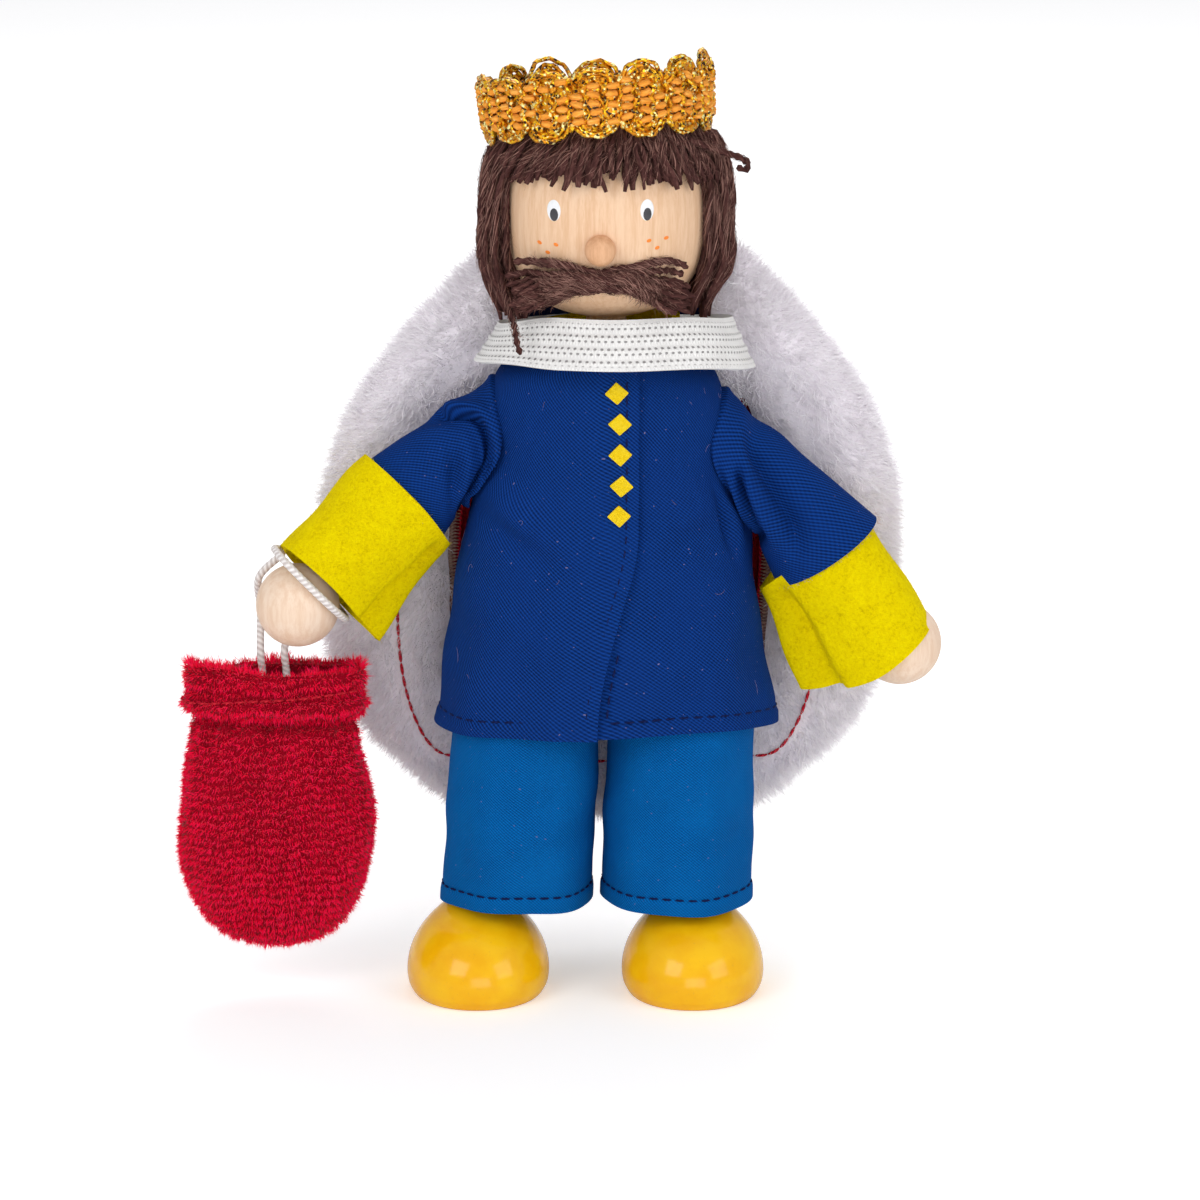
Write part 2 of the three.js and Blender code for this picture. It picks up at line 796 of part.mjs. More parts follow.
// Cape: a fan-shaped panel with hanging folds, its border turned over in plush.
const capeSpan = curveThrough([
  [0, capeTopHalfWidth],
  [0.12, mix(capeTopHalfWidth, capeHalfWidth, 0.42)],
  [0.26, mix(capeTopHalfWidth, capeHalfWidth, 0.78)],
  [0.42, mix(capeTopHalfWidth, capeHalfWidth, 0.98)],
  [0.58, capeHalfWidth],
  [0.76, mix(capeHemHalfWidth, capeHalfWidth, 0.9)],
  [0.9, mix(capeHemHalfWidth, capeHalfWidth, 0.55)],
  [1, capeHemHalfWidth],
]);
function capePoint(u, v) {
  const highest = capeNeckHeight + (capeCornerHeight - capeNeckHeight) * u * u;
  const lowest = capeHem + (capeHemCorner - capeHem) * Math.pow(u, 4);
  const z = mix(highest, lowest, v);
  const x = capeSpan(v) * u + elasticShift * (1 - v);
  const back = mix(capeNeckBack, capeBack, ease(v / 0.45));
  const curl = mix(2.6, capeCurl, ease(v / 0.4)) * (1 - 0.5 * ease((v - 0.6) / 0.4));
  const calm = 1 - ease((Math.abs(u) - 0.55) / 0.25);
  const fold = capeFoldDepth * calm * ease((v - 0.1) / 0.7) * Math.cos(u * capeFolds * Math.PI * 0.5);
  return vec(x, back - curl * u * u + fold, z);
}
function capeAt(u, v, lift) {
  const step = 0.01;
  const along = capePoint(u + step, v).sub(capePoint(u - step, v));
  const down = capePoint(u, v + step).sub(capePoint(u, v - step));
  const normal = down.cross(along).normalize();
  if (normal.y > 0) {
    normal.negate();
  }
  return capePoint(u, v).addScaledVector(normal, lift);
}
const halfCape = capeThickness / 2;
const capeColumns = 24;
const capeTuck = 0.97;
add(
  "cape_panel",
  panel(
    capeColumns,
    9,
    (u, v) => capeAt(mix(-capeTuck, capeTuck, u), v * capeTuck, halfCape),
    (u, v) => capeAt(mix(-capeTuck, capeTuck, u), v * capeTuck, -halfCape),
  ),
  red,
  0.9,
);
const furSlot = halfCape + fit + 0.25;
const furSection = [
  [furFace, furSlot],
  [furFace, furSlot + furLoft * 0.55],
  [furFace * 0.5, furSlot + furLoft],
  [0, furSlot + furLoft],
  [-furRoll * 0.75, furLoft * 0.7],
  [-furRoll, 0],
  [-furRoll * 0.75, -furLoft * 0.6],
  [0, -furSlot - furLoft * 0.6],
  [furTurn * 0.7, -furSlot - furLoft * 0.55],
  [furTurn, -furSlot - furLoft * 0.3],
  [furTurn, -furSlot],
  [furTurn * 0.45, -furSlot],
  [-fit - 0.3, -furSlot],
  [-fit - 0.3, furSlot],
  [furFace * 0.45, furSlot],
];
const furSteps = 9;
const furEdge = [];
for (let i = 0; i < furSteps; i += 1) {
  furEdge.push([1, i / furSteps]);
}
for (let i = 0; i <= capeColumns; i += 1) {
  furEdge.push([1 - (2 * i) / capeColumns, 1]);
}
for (let i = furSteps - 1; i >= 0; i -= 1) {
  furEdge.push([-1, i / furSteps]);
}
const furRings = furEdge.map(([u, v]) => {
  return furSection.map(([inward, lift]) => {
    const share = 1 - inward / capeHalfWidth;
    return capeAt(u * share, 0.5 + (v - 0.5) * share, lift);
  });
});
add("cape_fur", loft(furRings, furSection), white, 1);

// Arms, each a wire with a wrap, a ball hand, a sleeve and a cuff.
function armFrame(direction) {
  const rise = up.clone().addScaledVector(direction, -up.dot(direction)).normalize();
  const front = rise.clone().cross(direction).normalize();
  if (front.y > 0) {
    front.negate();
  }
  return { rise, front };
}
const arms = [
  ["right", -1, rightShoulder, rightUpperArm, rightForearm, rightCuffEnd, rightCuffLap, rightCuffFin, rightCuffPoint],
  ["left", 1, leftShoulder, leftUpperArm, leftForearm, leftCuffEnd, leftCuffLap, leftCuffFin, leftCuffPoint],
];
const wrists = {};
for (const [side, sign, shoulder, upperWay, foreWay, cuffEnd, cuffLap, cuffFin, cuffPoint] of arms) {
  const elbow = shoulder.clone().addScaledVector(upperWay, upperArmLength);
  const hand = elbow.clone().addScaledVector(foreWay, forearmLength);
  wrists[side] = { elbow, hand, foreWay };
  const along = (s) => shoulder.clone().addScaledVector(upperWay, s);
  const below = (s) => elbow.clone().addScaledVector(foreWay, s);
  const clear = armRadius * 0.75;
  add(`upper_arm_${side}`, limb(along(clear), along(upperArmLength - clear), armRadius, wireBore), wrap, 0.95);
  add(`upper_arm_wire_${side}`, wire(along(bend), along(upperArmLength)), steel, 0.4, 1);
  const wristEnd = forearmLength - handRadius - fit;
  const palm = handRadius * 0.94;
  add(`forearm_${side}`, limb(below(clear), below(wristEnd), armRadius, wireBore), wrap, 0.95);
  const wireEnd = forearmLength - handRadius + handSocketDepth - fit;
  add(`forearm_wire_${side}`, rod(below(bend), below(wireEnd), wireRadius), steel, 0.4, 1);
  const ball = [[0, -palm + handSocketDepth], [wireBore, -palm + handSocketDepth], [wireBore, -palm]];
  const flat = Math.asin(palm / handRadius);
  for (let i = 0; i <= 9; i += 1) {
    const t = mix(-flat, Math.PI / 2, i / 9);
    ball.push([i === 9 ? 0 : handRadius * Math.cos(t), handRadius * Math.sin(t)]);
  }
  add(`hand_${side}`, aim(turned(ball, 16), hand, foreWay), wood, 0.5);

  // Sleeve from the jacket's side to the top of the cuff.
  const upperFrame = armFrame(upperWay);
  const sleeveEnd = upperArmLength - cuffLap - fit;
  const sleeve = (inset) => (u, v) => {
    const turn = u * tau;
    const z = shoulder.z - sleeveDrop + (sleeveHalfHeight - inset) * Math.sin(turn);
    const y = (sleeveHalfDepth - inset) * Math.cos(turn);
    const start = vec(sign * (jacketSide(y, z) + fit + 0.4), y, z);
    const end = along(sleeveEnd)
      .addScaledVector(upperFrame.rise, (cuffTopRadius - inset) * Math.sin(turn))
      .addScaledVector(upperFrame.front, -(cuffTopDepth - inset) * Math.cos(turn));
    const point = start.lerp(end, v);
    const pucker = 0.35 * Math.sin(v * Math.PI) * Math.cos(v * 9 + turn * 2);
    return point.addScaledVector(upperFrame.rise, pucker * Math.sin(turn));
  };
  add(`sleeve_${side}`, panel(16, 4, sleeve(0), sleeve(cloth), true), navy, 0.9);

  // Cuff: a felt tube that widens to its mouth, with a hanging point underneath.
  const cuffStart = upperArmLength - cuffLap;
  const cuffLength = cuffLap + forearmLength - cuffEnd;
  const foreFrame = armFrame(foreWay);
  const cuff = (inset) => (u, v) => {
    const turn = u * tau;
    const lower = Math.max(0, -Math.sin(turn));
    const reach = v * (cuffLength + cuffPoint * Math.pow(lower, 4));
    const past = ease((reach - cuffLap + 2.5) / 5);
    const s = reach - cuffLap;
    const centre = s < 0 ? along(cuffStart + reach) : below(s);
    const rise = upperFrame.rise.clone().lerp(foreFrame.rise, past).normalize();
    const front = upperFrame.front.clone().lerp(foreFrame.front, past).normalize();
    const half = mix(cuffTopRadius, cuffMouthRadius, v) + cuffFin * Math.pow(lower, 2.5) * Math.pow(v, 0.7) - inset;
    const depth = mix(cuffTopDepth, cuffMouthDepth, v) - inset;
    return centre
      .addScaledVector(rise, half * Math.sin(turn))
      .addScaledVector(front, -depth * Math.cos(turn));
  };
  add(`cuff_${side}`, panel(16, 5, cuff(0), cuff(felt), true), yellow, 0.9);
}

// Trousers: a seat on the torso, then two straight legs, each parted at the knee.
const seatLow = hipHeight + 0.6;
const seat = (inset) => (u, v) => {
  const z = mix(seatLow, seatTop, v);
  const t = ease(v);
  const halfWidth = mix(legTopSpacing / 2 + legTopHalfWidth, torsoHalfWidth + fit + 0.1 + cloth, t) - inset;
  const halfDepth = mix(legTopHalfDepth, torsoHalfDepth + fit + 0.1 + cloth, t) - inset;
  return squareRound(halfWidth, halfDepth, 2.4, u * tau, z);
};
add("trouser_seat", panel(24, 2, seat(0), seat(cloth), true), blue, 0.9);

const legTop = hipHeight + fit;
for (const [side, sign] of legSides) {
  const hip = vec((sign * hipSpacing) / 2, 0, hipHeight);
  const ankle = vec((sign * stanceSpacing) / 2 + stanceShift, 0, ankleHeight);
  const way = ankle.clone().sub(hip).normalize();
  const knee = hip.clone().addScaledVector(way, (kneeHeight - hipHeight) / way.z);
  const from = (point, s) => point.clone().addScaledVector(way, s);
  const clear = legRadius * 0.75;
  const rootTop = vec(hip.x, 0, torsoBottom + wireSocketDepth);
  add(`leg_root_wire_${side}`, wire(rootTop, hip), steel, 0.4, 1);
  add(`thigh_${side}`, limb(from(hip, clear), from(knee, -clear), legRadius, wireBore), wrap, 0.95);
  add(`thigh_wire_${side}`, wire(from(hip, bend), knee), steel, 0.4, 1);
  const shinLength = ankle.distanceTo(knee);
  const shinEnd = shinLength - fit - legRadius * Math.hypot(way.x, way.y);
  add(`shin_${side}`, limb(from(knee, clear), from(knee, shinEnd), legRadius, wireBore), wrap, 0.95);
  const wireFoot = shinLength + footSocketDepth - fit;
  add(`shin_wire_${side}`, rod(from(knee, bend), from(knee, wireFoot), wireRadius), steel, 0.4, 1);

  // Foot: a half egg with a flat sole and a short neck for the leg.
  const footMiddle = -footToe + footLength / 2;
  const footRings = [];
  const footRows = [
    [0, 1 - footSoleInset / footHalfWidth, 0],
    [0.12, 0.985, 0],
    [0.3, 1, 0],
    [0.5, 0.95, 0.06],
    [0.68, 0.84, 0.16],
    [0.82, 0.7, 0.32],
    [0.92, 0.56, 0.55],
    [0.98, 0.46, 0.78],
  ];
  for (const [rise, share, shift] of footRows) {
    const ring = [];
    for (let i = 0; i < round; i += 1) {
      const turn = (i / round) * tau;
      const x = footHalfWidth * share * power(Math.cos(turn), 0.94);
      const y = (footLength / 2) * share * Math.sin(turn) + footMiddle * (1 - shift);
      ring.push(vec(ankle.x + x, y, footHeight * rise));
    }
    footRings.push(ring);
  }
  for (const z of [footHeight + 0.8, ankleHeight]) {
    const ring = [];
    for (let i = 0; i < round; i += 1) {
      const turn = (i / round) * tau;
      ring.push(vec(ankle.x + ankleRadius * Math.cos(turn), ankleRadius * Math.sin(turn), z));
    }
    footRings.push(ring);
  }
  const socket = rod(from(ankle, footSocketDepth), from(ankle, -4), wireBore);
  add(`foot_${side}`, cut(loft(footRings), socket), shoe, 0.2);

  const leg = (low, high, inset) => (u, v) => {
    const z = mix(low, high, v);
    const t = (legTop - z) / (legTop - trouserHem);
    const x = (sign * mix(legTopSpacing, legHemSpacing, t)) / 2 + legHemShift * t;
    const crease = 0.3 * ease(t * 1.5) * Math.cos(u * tau * 6);
    const halfWidth = mix(legTopHalfWidth, legHemHalfWidth, t) - inset;
    const halfDepth = mix(legTopHalfDepth, legHemHalfDepth, t) - inset + crease;
    const point = squareRound(halfWidth, halfDepth, 2.15, u * tau, z);
    point.x += x;
    return point;
  };
  const thighFace = (inset) => leg(kneeHeight + fit, legTop, inset);
  const shinFace = (inset) => leg(trouserHem, kneeHeight, inset);
  add(`trouser_thigh_${side}`, panel(24, 2, thighFace(0), thighFace(cloth), true), blue, 0.9);
  add(`trouser_shin_${side}`, panel(24, 2, shinFace(0), shinFace(cloth), true), blue, 0.9);
}

// Pouch: a flat bag, round at the foot, drawn in under a turned-down rim, open at the top.
const wrist = wrists.right;
const pouchTopPlace = vec(
  wrist.hand.x - pouchAside,
  wrist.hand.y - pouchForward,
  wrist.hand.z - pouchDrop,
);
const foot = -pouchHeight;
const bagWidth = curveThrough([
  [foot, 3.5],
  [foot + 1.2, 6.6],
  [foot + 3.4, 9.2],
  [foot + 8, pouchHalfWidth - 1],
  [foot + 14, pouchHalfWidth],
  [foot + 21, pouchHalfWidth - 0.5],
  [-pouchRim - 1.2, pouchNeckHalfWidth],
  [-pouchRim, pouchRimHalfWidth - 0.2],
  [0, pouchRimHalfWidth],
]);
const bagDepth = curveThrough([
  [foot, 1.6],
  [foot + 1.2, 2.5],
  [foot + 3.4, 3.6],
  [foot + 9, pouchHalfDepth],
  [foot + 17, pouchHalfDepth],
  [-pouchRim - 1.2, pouchNeckHalfDepth],
  [-pouchRim, pouchNeckHalfDepth + 0.7],
  [0, pouchNeckHalfDepth + 0.7],
]);
const bagLevels = [0, 1.2, 3.4, 8, 14, 21, pouchHeight - pouchRim - 1.2, pouchHeight - pouchRim, pouchHeight];
function bagRing(z, inset) {
  const ring = [];
  for (let i = 0; i < round; i += 1) {
    ring.push(squareRound(bagWidth(z) - inset, bagDepth(z) - inset, 2.3, (i / round) * tau, z));
  }
  return ring;
}
const bagOuter = loft(bagLevels.map((rise) => bagRing(foot + rise, 0)));
const bagHollow = loft([3.2, 8, 14, 21, pouchHeight - pouchRim - 1.2, pouchHeight + 1].map((rise) => {
  return bagRing(Math.min(foot + rise, -pouchRim - 1.2), pouchWall).map((p) => vec(p.x, p.y, foot + rise));
}));
const bag = cut(bagOuter, bagHollow);
const bagPlace = new THREE.Matrix4().makeRotationY(THREE.MathUtils.degToRad(pouchTilt));
bagPlace.setPosition(pouchTopPlace);
bag.applyMatrix4(bagPlace);
add("pouch_bag", bag, red, 0.95);

// Drawstring: from the bag's mouth up behind the hand, once over the wrist, and back down.
const { rise: wristRise, front: wristFront } = armFrame(wrist.foreWay);
const loopCentre = wrist.hand.clone().addScaledVector(wrist.foreWay, -loopBack);
function loopPoint(degrees, radius) {
  const turn = THREE.MathUtils.degToRad(degrees);
  return loopCentre
    .clone()
    .addScaledVector(wristRise, radius * Math.cos(turn))
    .addScaledVector(wristFront, radius * Math.sin(turn));
}
const mouthDepth = pouchNeckHalfDepth - pouchWall - cordRadius - fit;
const mouth = (x, z) => vec(x, mouthDepth, z).applyMatrix4(bagPlace);
const behind = wrist.hand.y + handRadius + cordRadius + 0.6;
const ropePoints = [
  mouth(-1.8, -4.6),
  mouth(-1.8, -1),
  mouth(-1.8, 1.6),
  vec(wrist.hand.x - 5, behind, wrist.hand.z - 2.2),
  vec(wrist.hand.x - 5, behind - 1.8, wrist.hand.z + 2.4),
  loopPoint(-42, mix(loopRadius, loopTopRadius, 0.7)),
  loopPoint(-8, loopTopRadius),
  loopPoint(28, mix(loopRadius, loopTopRadius, 0.7)),
  loopPoint(62, loopRadius),
  loopPoint(100, loopRadius),
  loopPoint(138, loopRadius),
  loopPoint(176, loopRadius),
  loopPoint(214, loopRadius),
  loopPoint(248, loopRadius + 0.5),
  vec(wrist.hand.x + 1, behind + 0.9, wrist.hand.z - 1.4),
  vec(wrist.hand.x - 1.2, behind + 0.5, wrist.hand.z - 4.6),
  mouth(1.2, 1.6),
  mouth(1.2, -1),
  mouth(1.2, -4.6),
];
const rope = new THREE.CatmullRomCurve3(ropePoints);
const ropeLength = rope.getLength();
const ropeSection = new THREE.Shape();
for (let i = 0; i < 8; i += 1) {
  const turn = (i / 8) * tau;
  const place = [cordRadius * Math.cos(turn), cordRadius * Math.sin(turn)];
  if (i === 0) {
    ropeSection.moveTo(...place);
  } else {
    ropeSection.lineTo(...place);
  }
}
ropeSection.closePath();
const ropeSteps = Math.round(ropeLength / (4 * cordRadius));
add(
  "pouch_cord",
  new THREE.ExtrudeGeometry(ropeSection, { steps: ropeSteps, extrudePath: rope, bevelEnabled: false }),
  white,
  0.9,
);

// The origin is on the floor, under the middle of the whole doll.
const extent = new THREE.Box3();
for (const mesh of doll.children) {
  if (mesh.name !== "pouch_cord") {
    extent.expandByObject(mesh);
  }
}
doll.position.set(-(extent.min.x + extent.max.x) / 2, -(extent.min.y + extent.max.y) / 2, -extent.min.z);

const assembly = new THREE.Group();
assembly.name = "bendable_doll";
assembly.add(doll);

export default assembly;
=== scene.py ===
import bpy
import math
import numpy as np
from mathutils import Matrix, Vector


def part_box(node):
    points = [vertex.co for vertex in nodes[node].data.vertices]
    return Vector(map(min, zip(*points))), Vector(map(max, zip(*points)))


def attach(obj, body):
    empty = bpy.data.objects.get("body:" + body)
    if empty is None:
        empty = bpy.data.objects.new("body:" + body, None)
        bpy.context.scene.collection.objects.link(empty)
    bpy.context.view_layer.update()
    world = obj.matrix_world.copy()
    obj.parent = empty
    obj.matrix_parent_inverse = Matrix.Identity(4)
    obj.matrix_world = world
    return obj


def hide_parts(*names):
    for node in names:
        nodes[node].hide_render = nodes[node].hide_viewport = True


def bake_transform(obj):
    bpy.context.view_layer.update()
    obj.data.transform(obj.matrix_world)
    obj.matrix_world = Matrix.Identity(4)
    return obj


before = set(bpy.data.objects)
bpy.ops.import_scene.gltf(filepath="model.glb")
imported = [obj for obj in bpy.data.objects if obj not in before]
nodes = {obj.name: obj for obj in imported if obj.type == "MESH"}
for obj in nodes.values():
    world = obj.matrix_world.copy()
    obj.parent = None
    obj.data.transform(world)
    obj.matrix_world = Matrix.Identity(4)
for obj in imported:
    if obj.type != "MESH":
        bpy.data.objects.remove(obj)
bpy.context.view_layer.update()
print("frame:", len(nodes), "nodes")

# All shapes below are in millimetres about the doll's own neck line; toFrame puts them in the frame.
neckLow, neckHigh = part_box("neck_dowel")
shift = np.array([(neckLow.x + neckHigh.x) / 2, (neckLow.y + neckHigh.y) / 2, 0.0])
mm = 0.001
tau = 2 * math.pi
bodySides = {"right": -1, "left": 1}  # the doll's own sides, and which way each lies along x
weldGap = 2e-6  # metres
softAngle = 50  # degrees: cloth edges flatter than this are shaded smooth


def toFrame(points):
    return np.asarray(points, float) * mm + shift


def spot(x, y, z):
    return Vector(toFrame([x, y, z]))


def mix(a, b, t):
    return a + (b - a) * t


def ease(t):
    t = np.clip(t, 0, 1)
    return t * t * (3 - 2 * t)


def hump(t, width):
    return np.exp(-((t / width) ** 2))


def power(value, exponent):
    return np.sign(value) * np.abs(value) ** exponent


def unit(v):
    v = np.asarray(v, float)
    return v / np.maximum(np.linalg.norm(v, axis=-1, keepdims=True), 1e-12)


def xyz(x, y, z):
    return np.stack([x, y, z], axis=-1)


def runLength(line):  # how far along a line each of its points lies
    return np.concatenate([[0], np.cumsum(np.linalg.norm(np.diff(line, axis=0), axis=1))])


def readLine(line, stops):  # the points at these distances along a line
    run = runLength(line)
    return np.stack([np.interp(stops, run, line[:, k]) for k in range(3)], axis=1)


def swing(a, b, angle):  # a pair of coordinates turned about their origin
    return a * math.cos(angle) - b * math.sin(angle), a * math.sin(angle) + b * math.cos(angle)


def curveThrough(rows):  # a smooth curve through (position, value) rows
    xs = np.array([r[0] for r in rows], float)
    ys = np.array([r[1] for r in rows], float)
    last = len(xs) - 1
    lo = np.maximum(np.arange(last + 1) - 1, 0)
    hi = np.minimum(np.arange(last + 1) + 1, last)
    slopes = (ys[hi] - ys[lo]) / (xs[hi] - xs[lo])

    def read(at):
        at = np.asarray(at, float)
        k = np.clip(np.searchsorted(xs, at, side="right") - 1, 0, last - 1)
        span = xs[k + 1] - xs[k]
        inside = np.clip(at, xs[0], xs[last])
        t = (inside - xs[k]) / span
        value = ys[k] * (2 * t**3 - 3 * t**2 + 1) + slopes[k] * span * (t**3 - 2 * t**2 + t)
        value = value + ys[k + 1] * (3 * t**2 - 2 * t**3) + slopes[k + 1] * span * (t**3 - t**2)
        return value + (at - inside) * np.where(at < inside, slopes[0], slopes[last])

    return read


def throughPoints(points, count):  # a smooth line through points, evenly stepped
    points = np.asarray(points, float)
    steps = np.concatenate([[0], np.cumsum(np.sqrt(np.linalg.norm(np.diff(points, axis=0), axis=1)))])
    dense = np.linspace(0, steps[-1], count * 6)
    line = np.stack([curveThrough(list(zip(steps, points[:, k])))(dense) for k in range(3)], axis=1)
    return readLine(line, np.linspace(0, runLength(line)[-1], count))


def squareRound(halfWidth, halfDepth, squareness, angle):
    return (
        halfWidth * power(np.cos(angle), 2 / squareness),
        halfDepth * power(np.sin(angle), 2 / squareness),
    )


# Making and finishing pieces


def pick(*pieces):
    bpy.ops.object.select_all(action="DESELECT")
    for piece in pieces:
        piece.select_set(True)
    bpy.context.view_layer.objects.active = pieces[0]


def applyAll(piece):
    pick(piece)
    for modifier in list(piece.modifiers):
        bpy.ops.object.modifier_apply(modifier=modifier.name)
    return piece


def joinTo(piece, *others):
    pick(piece, *others)
    bpy.ops.object.join()
    return piece


def readAll(rows, key, width, kind=np.float32):
    values = np.zeros(len(rows) * width, kind)
    rows.foreach_get(key, values)
    return values.reshape(-1, width)


def readPoints(piece):
    return readAll(piece.data.vertices, "co", 3).astype(float)


def writePoints(piece, points):
    piece.data.vertices.foreach_set("co", np.asarray(points, np.float32).ravel())
    piece.data.update()


def setWeave(piece, coords):  # pattern coordinates in millimetres, one pair for each point
    mesh = piece.data
    layer = mesh.uv_layers.get("weave") or mesh.uv_layers.new(name="weave")
    loops = readAll(mesh.loops, "vertex_index", 1, np.int32)[:, 0]
    layer.data.foreach_set("uv", np.asarray(coords, np.float32)[loops].ravel())


def smooth(piece, angle=None):
    pick(piece)
    if angle is None:
        bpy.ops.object.shade_smooth()
    else:
        bpy.ops.object.shade_smooth_by_angle(angle=math.radians(angle))
    return piece


def rename(piece, name):
    piece.name = name
    piece.data.name = name
    return piece


def coat(piece, material):
    piece.data.materials.append(material)
    return piece


def editAll(piece, *steps):
    pick(piece)
    bpy.ops.object.mode_set(mode="EDIT")
    bpy.ops.mesh.select_all(action="SELECT")
    for step, settings in steps:
        step(**settings)
    bpy.ops.object.mode_set(mode="OBJECT")


# A grid shaped by a function of u and v from 0 to 1, which gives points and pattern coordinates.
def clothGrid(name, columns, rows, surface, thickness=0.0, outside=None):
    bpy.ops.object.select_all(action="DESELECT")
    bpy.ops.mesh.primitive_grid_add(x_subdivisions=columns, y_subdivisions=rows, size=1)
    piece = rename(bpy.context.object, name)
    for layer in list(piece.data.uv_layers):
        piece.data.uv_layers.remove(layer)
    flat = readPoints(piece)
    points, weave = surface(flat[:, 0] + 0.5, flat[:, 1] + 0.5)
    writePoints(piece, toFrame(points))
    setWeave(piece, np.stack(weave, axis=1))
    editAll(piece, (bpy.ops.mesh.remove_doubles, {"threshold": weldGap}))
    if outside is not None:  # faces turn away from this point
        normals = readAll(piece.data.polygons, "normal", 3)
        away = readAll(piece.data.polygons, "center", 3) - toFrame(outside)
        away[:, 2] *= 0.2
        if (normals * away).sum() < 0:
            editAll(piece, (bpy.ops.mesh.flip_normals, {}))
    if thickness:
        wall = piece.modifiers.new("wall", "SOLIDIFY")
        wall.thickness = thickness * mm
        wall.offset = -1
        applyAll(piece)
    return smooth(piece, softAngle)


def buildMesh(name, points, quads=(), tris=(), weave=None):
    mesh = bpy.data.meshes.new(name)
    quads = np.asarray(quads, np.int32).reshape(-1, 4)
    tris = np.asarray(tris, np.int32).reshape(-1, 3)
    loops = np.concatenate([quads.ravel(), tris.ravel()])
    starts = np.concatenate([np.arange(len(quads)) * 4, len(quads) * 4 + np.arange(len(tris)) * 3])
    mesh.vertices.add(len(points))
    mesh.vertices.foreach_set("co", toFrame(points).astype(np.float32).ravel())
    mesh.loops.add(len(loops))
    mesh.loops.foreach_set("vertex_index", loops)
    mesh.polygons.add(len(starts))
    mesh.polygons.foreach_set("loop_start", starts.astype(np.int32))
    mesh.polygons.foreach_set("use_smooth", np.ones(len(starts), bool))
    mesh.update(calc_edges=True)
    if weave is not None:
        layer = mesh.uv_layers.new(name="weave")
        layer.data.foreach_set("uv", np.asarray(weave, np.float32)[loops].ravel())
    piece = bpy.data.objects.new(name, mesh)
    bpy.context.scene.collection.objects.link(piece)
    return piece


# Strands: each path becomes a twisted tube with rounded lobes, tapered at its ends.
def strands(name, paths, radius, sides=8, lobes=2, lobeDepth=0.22, twist=1.6, taper=(0.6, 0.35)):
    allPoints, allQuads, allTris, allWeave = [], [], [], []
    base = 0
    around = np.arange(sides) / sides * tau
    for number, path in enumerate(paths):
        path = np.asarray(path, float)
        count = len(path)
        thick = radius[number] if np.ndim(radius) else radius
        along = unit(np.gradient(path, axis=0))
        run = runLength(path)
        side = np.cross(along[0], [0.31, 0.17, 0.94])
        if np.linalg.norm(side) < 0.1:
            side = np.cross(along[0], [0.9, 0.3, 0.1])
        first, second = np.zeros((count, 3)), np.zeros((count, 3))
        for k in range(count):
            side = unit(side - along[k] * np.dot(side, along[k]))
            first[k], second[k] = side, np.cross(along[k], side)
        size = np.full(count, 1.0)
        size[0], size[-1] = taper
        spin = run * twist + number * 1.7
        turn = around[None, :] + np.zeros((count, 1))
        ply = 1 - lobeDepth + lobeDepth * np.cos(lobes * (turn - spin[:, None]))
        reach = thick * size[:, None] * ply
        ring = path[:, None, :] + reach[..., None] * (
            np.cos(turn)[..., None] * first[:, None, :] + np.sin(turn)[..., None] * second[:, None, :]
        )
        allPoints.append(ring.reshape(-1, 3))
        length = np.repeat(run[:, None], sides, 1)
        weave = np.stack([turn / tau + number * 0.37, length + number * 7.3], axis=-1)
        allWeave.append(weave.reshape(-1, 2))
        k, i = np.meshgrid(np.arange(count - 1), np.arange(sides), indexing="ij")
        a = base + k * sides + i
        b = base + k * sides + (i + 1) % sides
        allQuads.append(np.stack([a, b, b + sides, a + sides], axis=-1).reshape(-1, 4))
        for start, flip in ((base, 1), (base + (count - 1) * sides, 0)):
            fan = np.arange(1, sides - 1)[:, None]
            allTris.append(start + np.concatenate([0 * fan, fan + flip, fan + 1 - flip], axis=1))
        base += count * sides
    return buildMesh(
        name,
        np.concatenate(allPoints),
        np.concatenate(allQuads),
        np.concatenate(allTris),
        np.concatenate(allWeave),
    )


# Hairs: fine three-sided spikes with one bend, for felt fuzz and frayed hems.
def hairs(name, roots, ways, lengths, width, sag, rng):
    count = len(roots)
    ways = unit(ways)
    side = unit(np.cross(ways, rng.normal(size=(count, 3))))
    other = np.cross(ways, side)
    lengths = np.broadcast_to(lengths, (count,))
    width = np.broadcast_to(width, (count,))
    middle = roots + ways * (lengths * 0.55)[:, None]
    tip = roots + ways * lengths[:, None] + sag * lengths[:, None]
    points = np.zeros((count, 7, 3))
    for j in range(3):
        out = math.cos(j * tau / 3) * side + math.sin(j * tau / 3) * other
        points[:, j] = roots + out * width[:, None]
        points[:, 3 + j] = middle + out * (width * 0.75)[:, None] + sag * (lengths * 0.3)[:, None]
    points[:, 6] = tip
    base = (np.arange(count) * 7)[:, None]
    quads = np.concatenate([base + np.array([[j, (j + 1) % 3, 3 + (j + 1) % 3, 3 + j]]) for j in range(3)])
    tris = np.concatenate([base + np.array([[3 + j, 3 + (j + 1) % 3, 6]]) for j in range(3)])
    tone = np.repeat(rng.random(count), 7)
    high = np.tile([0, 0, 0, 0.55, 0.55, 0.55, 1], count)
    return buildMesh(name, points.reshape(-1, 3), quads, tris, np.stack([tone, high], axis=1))


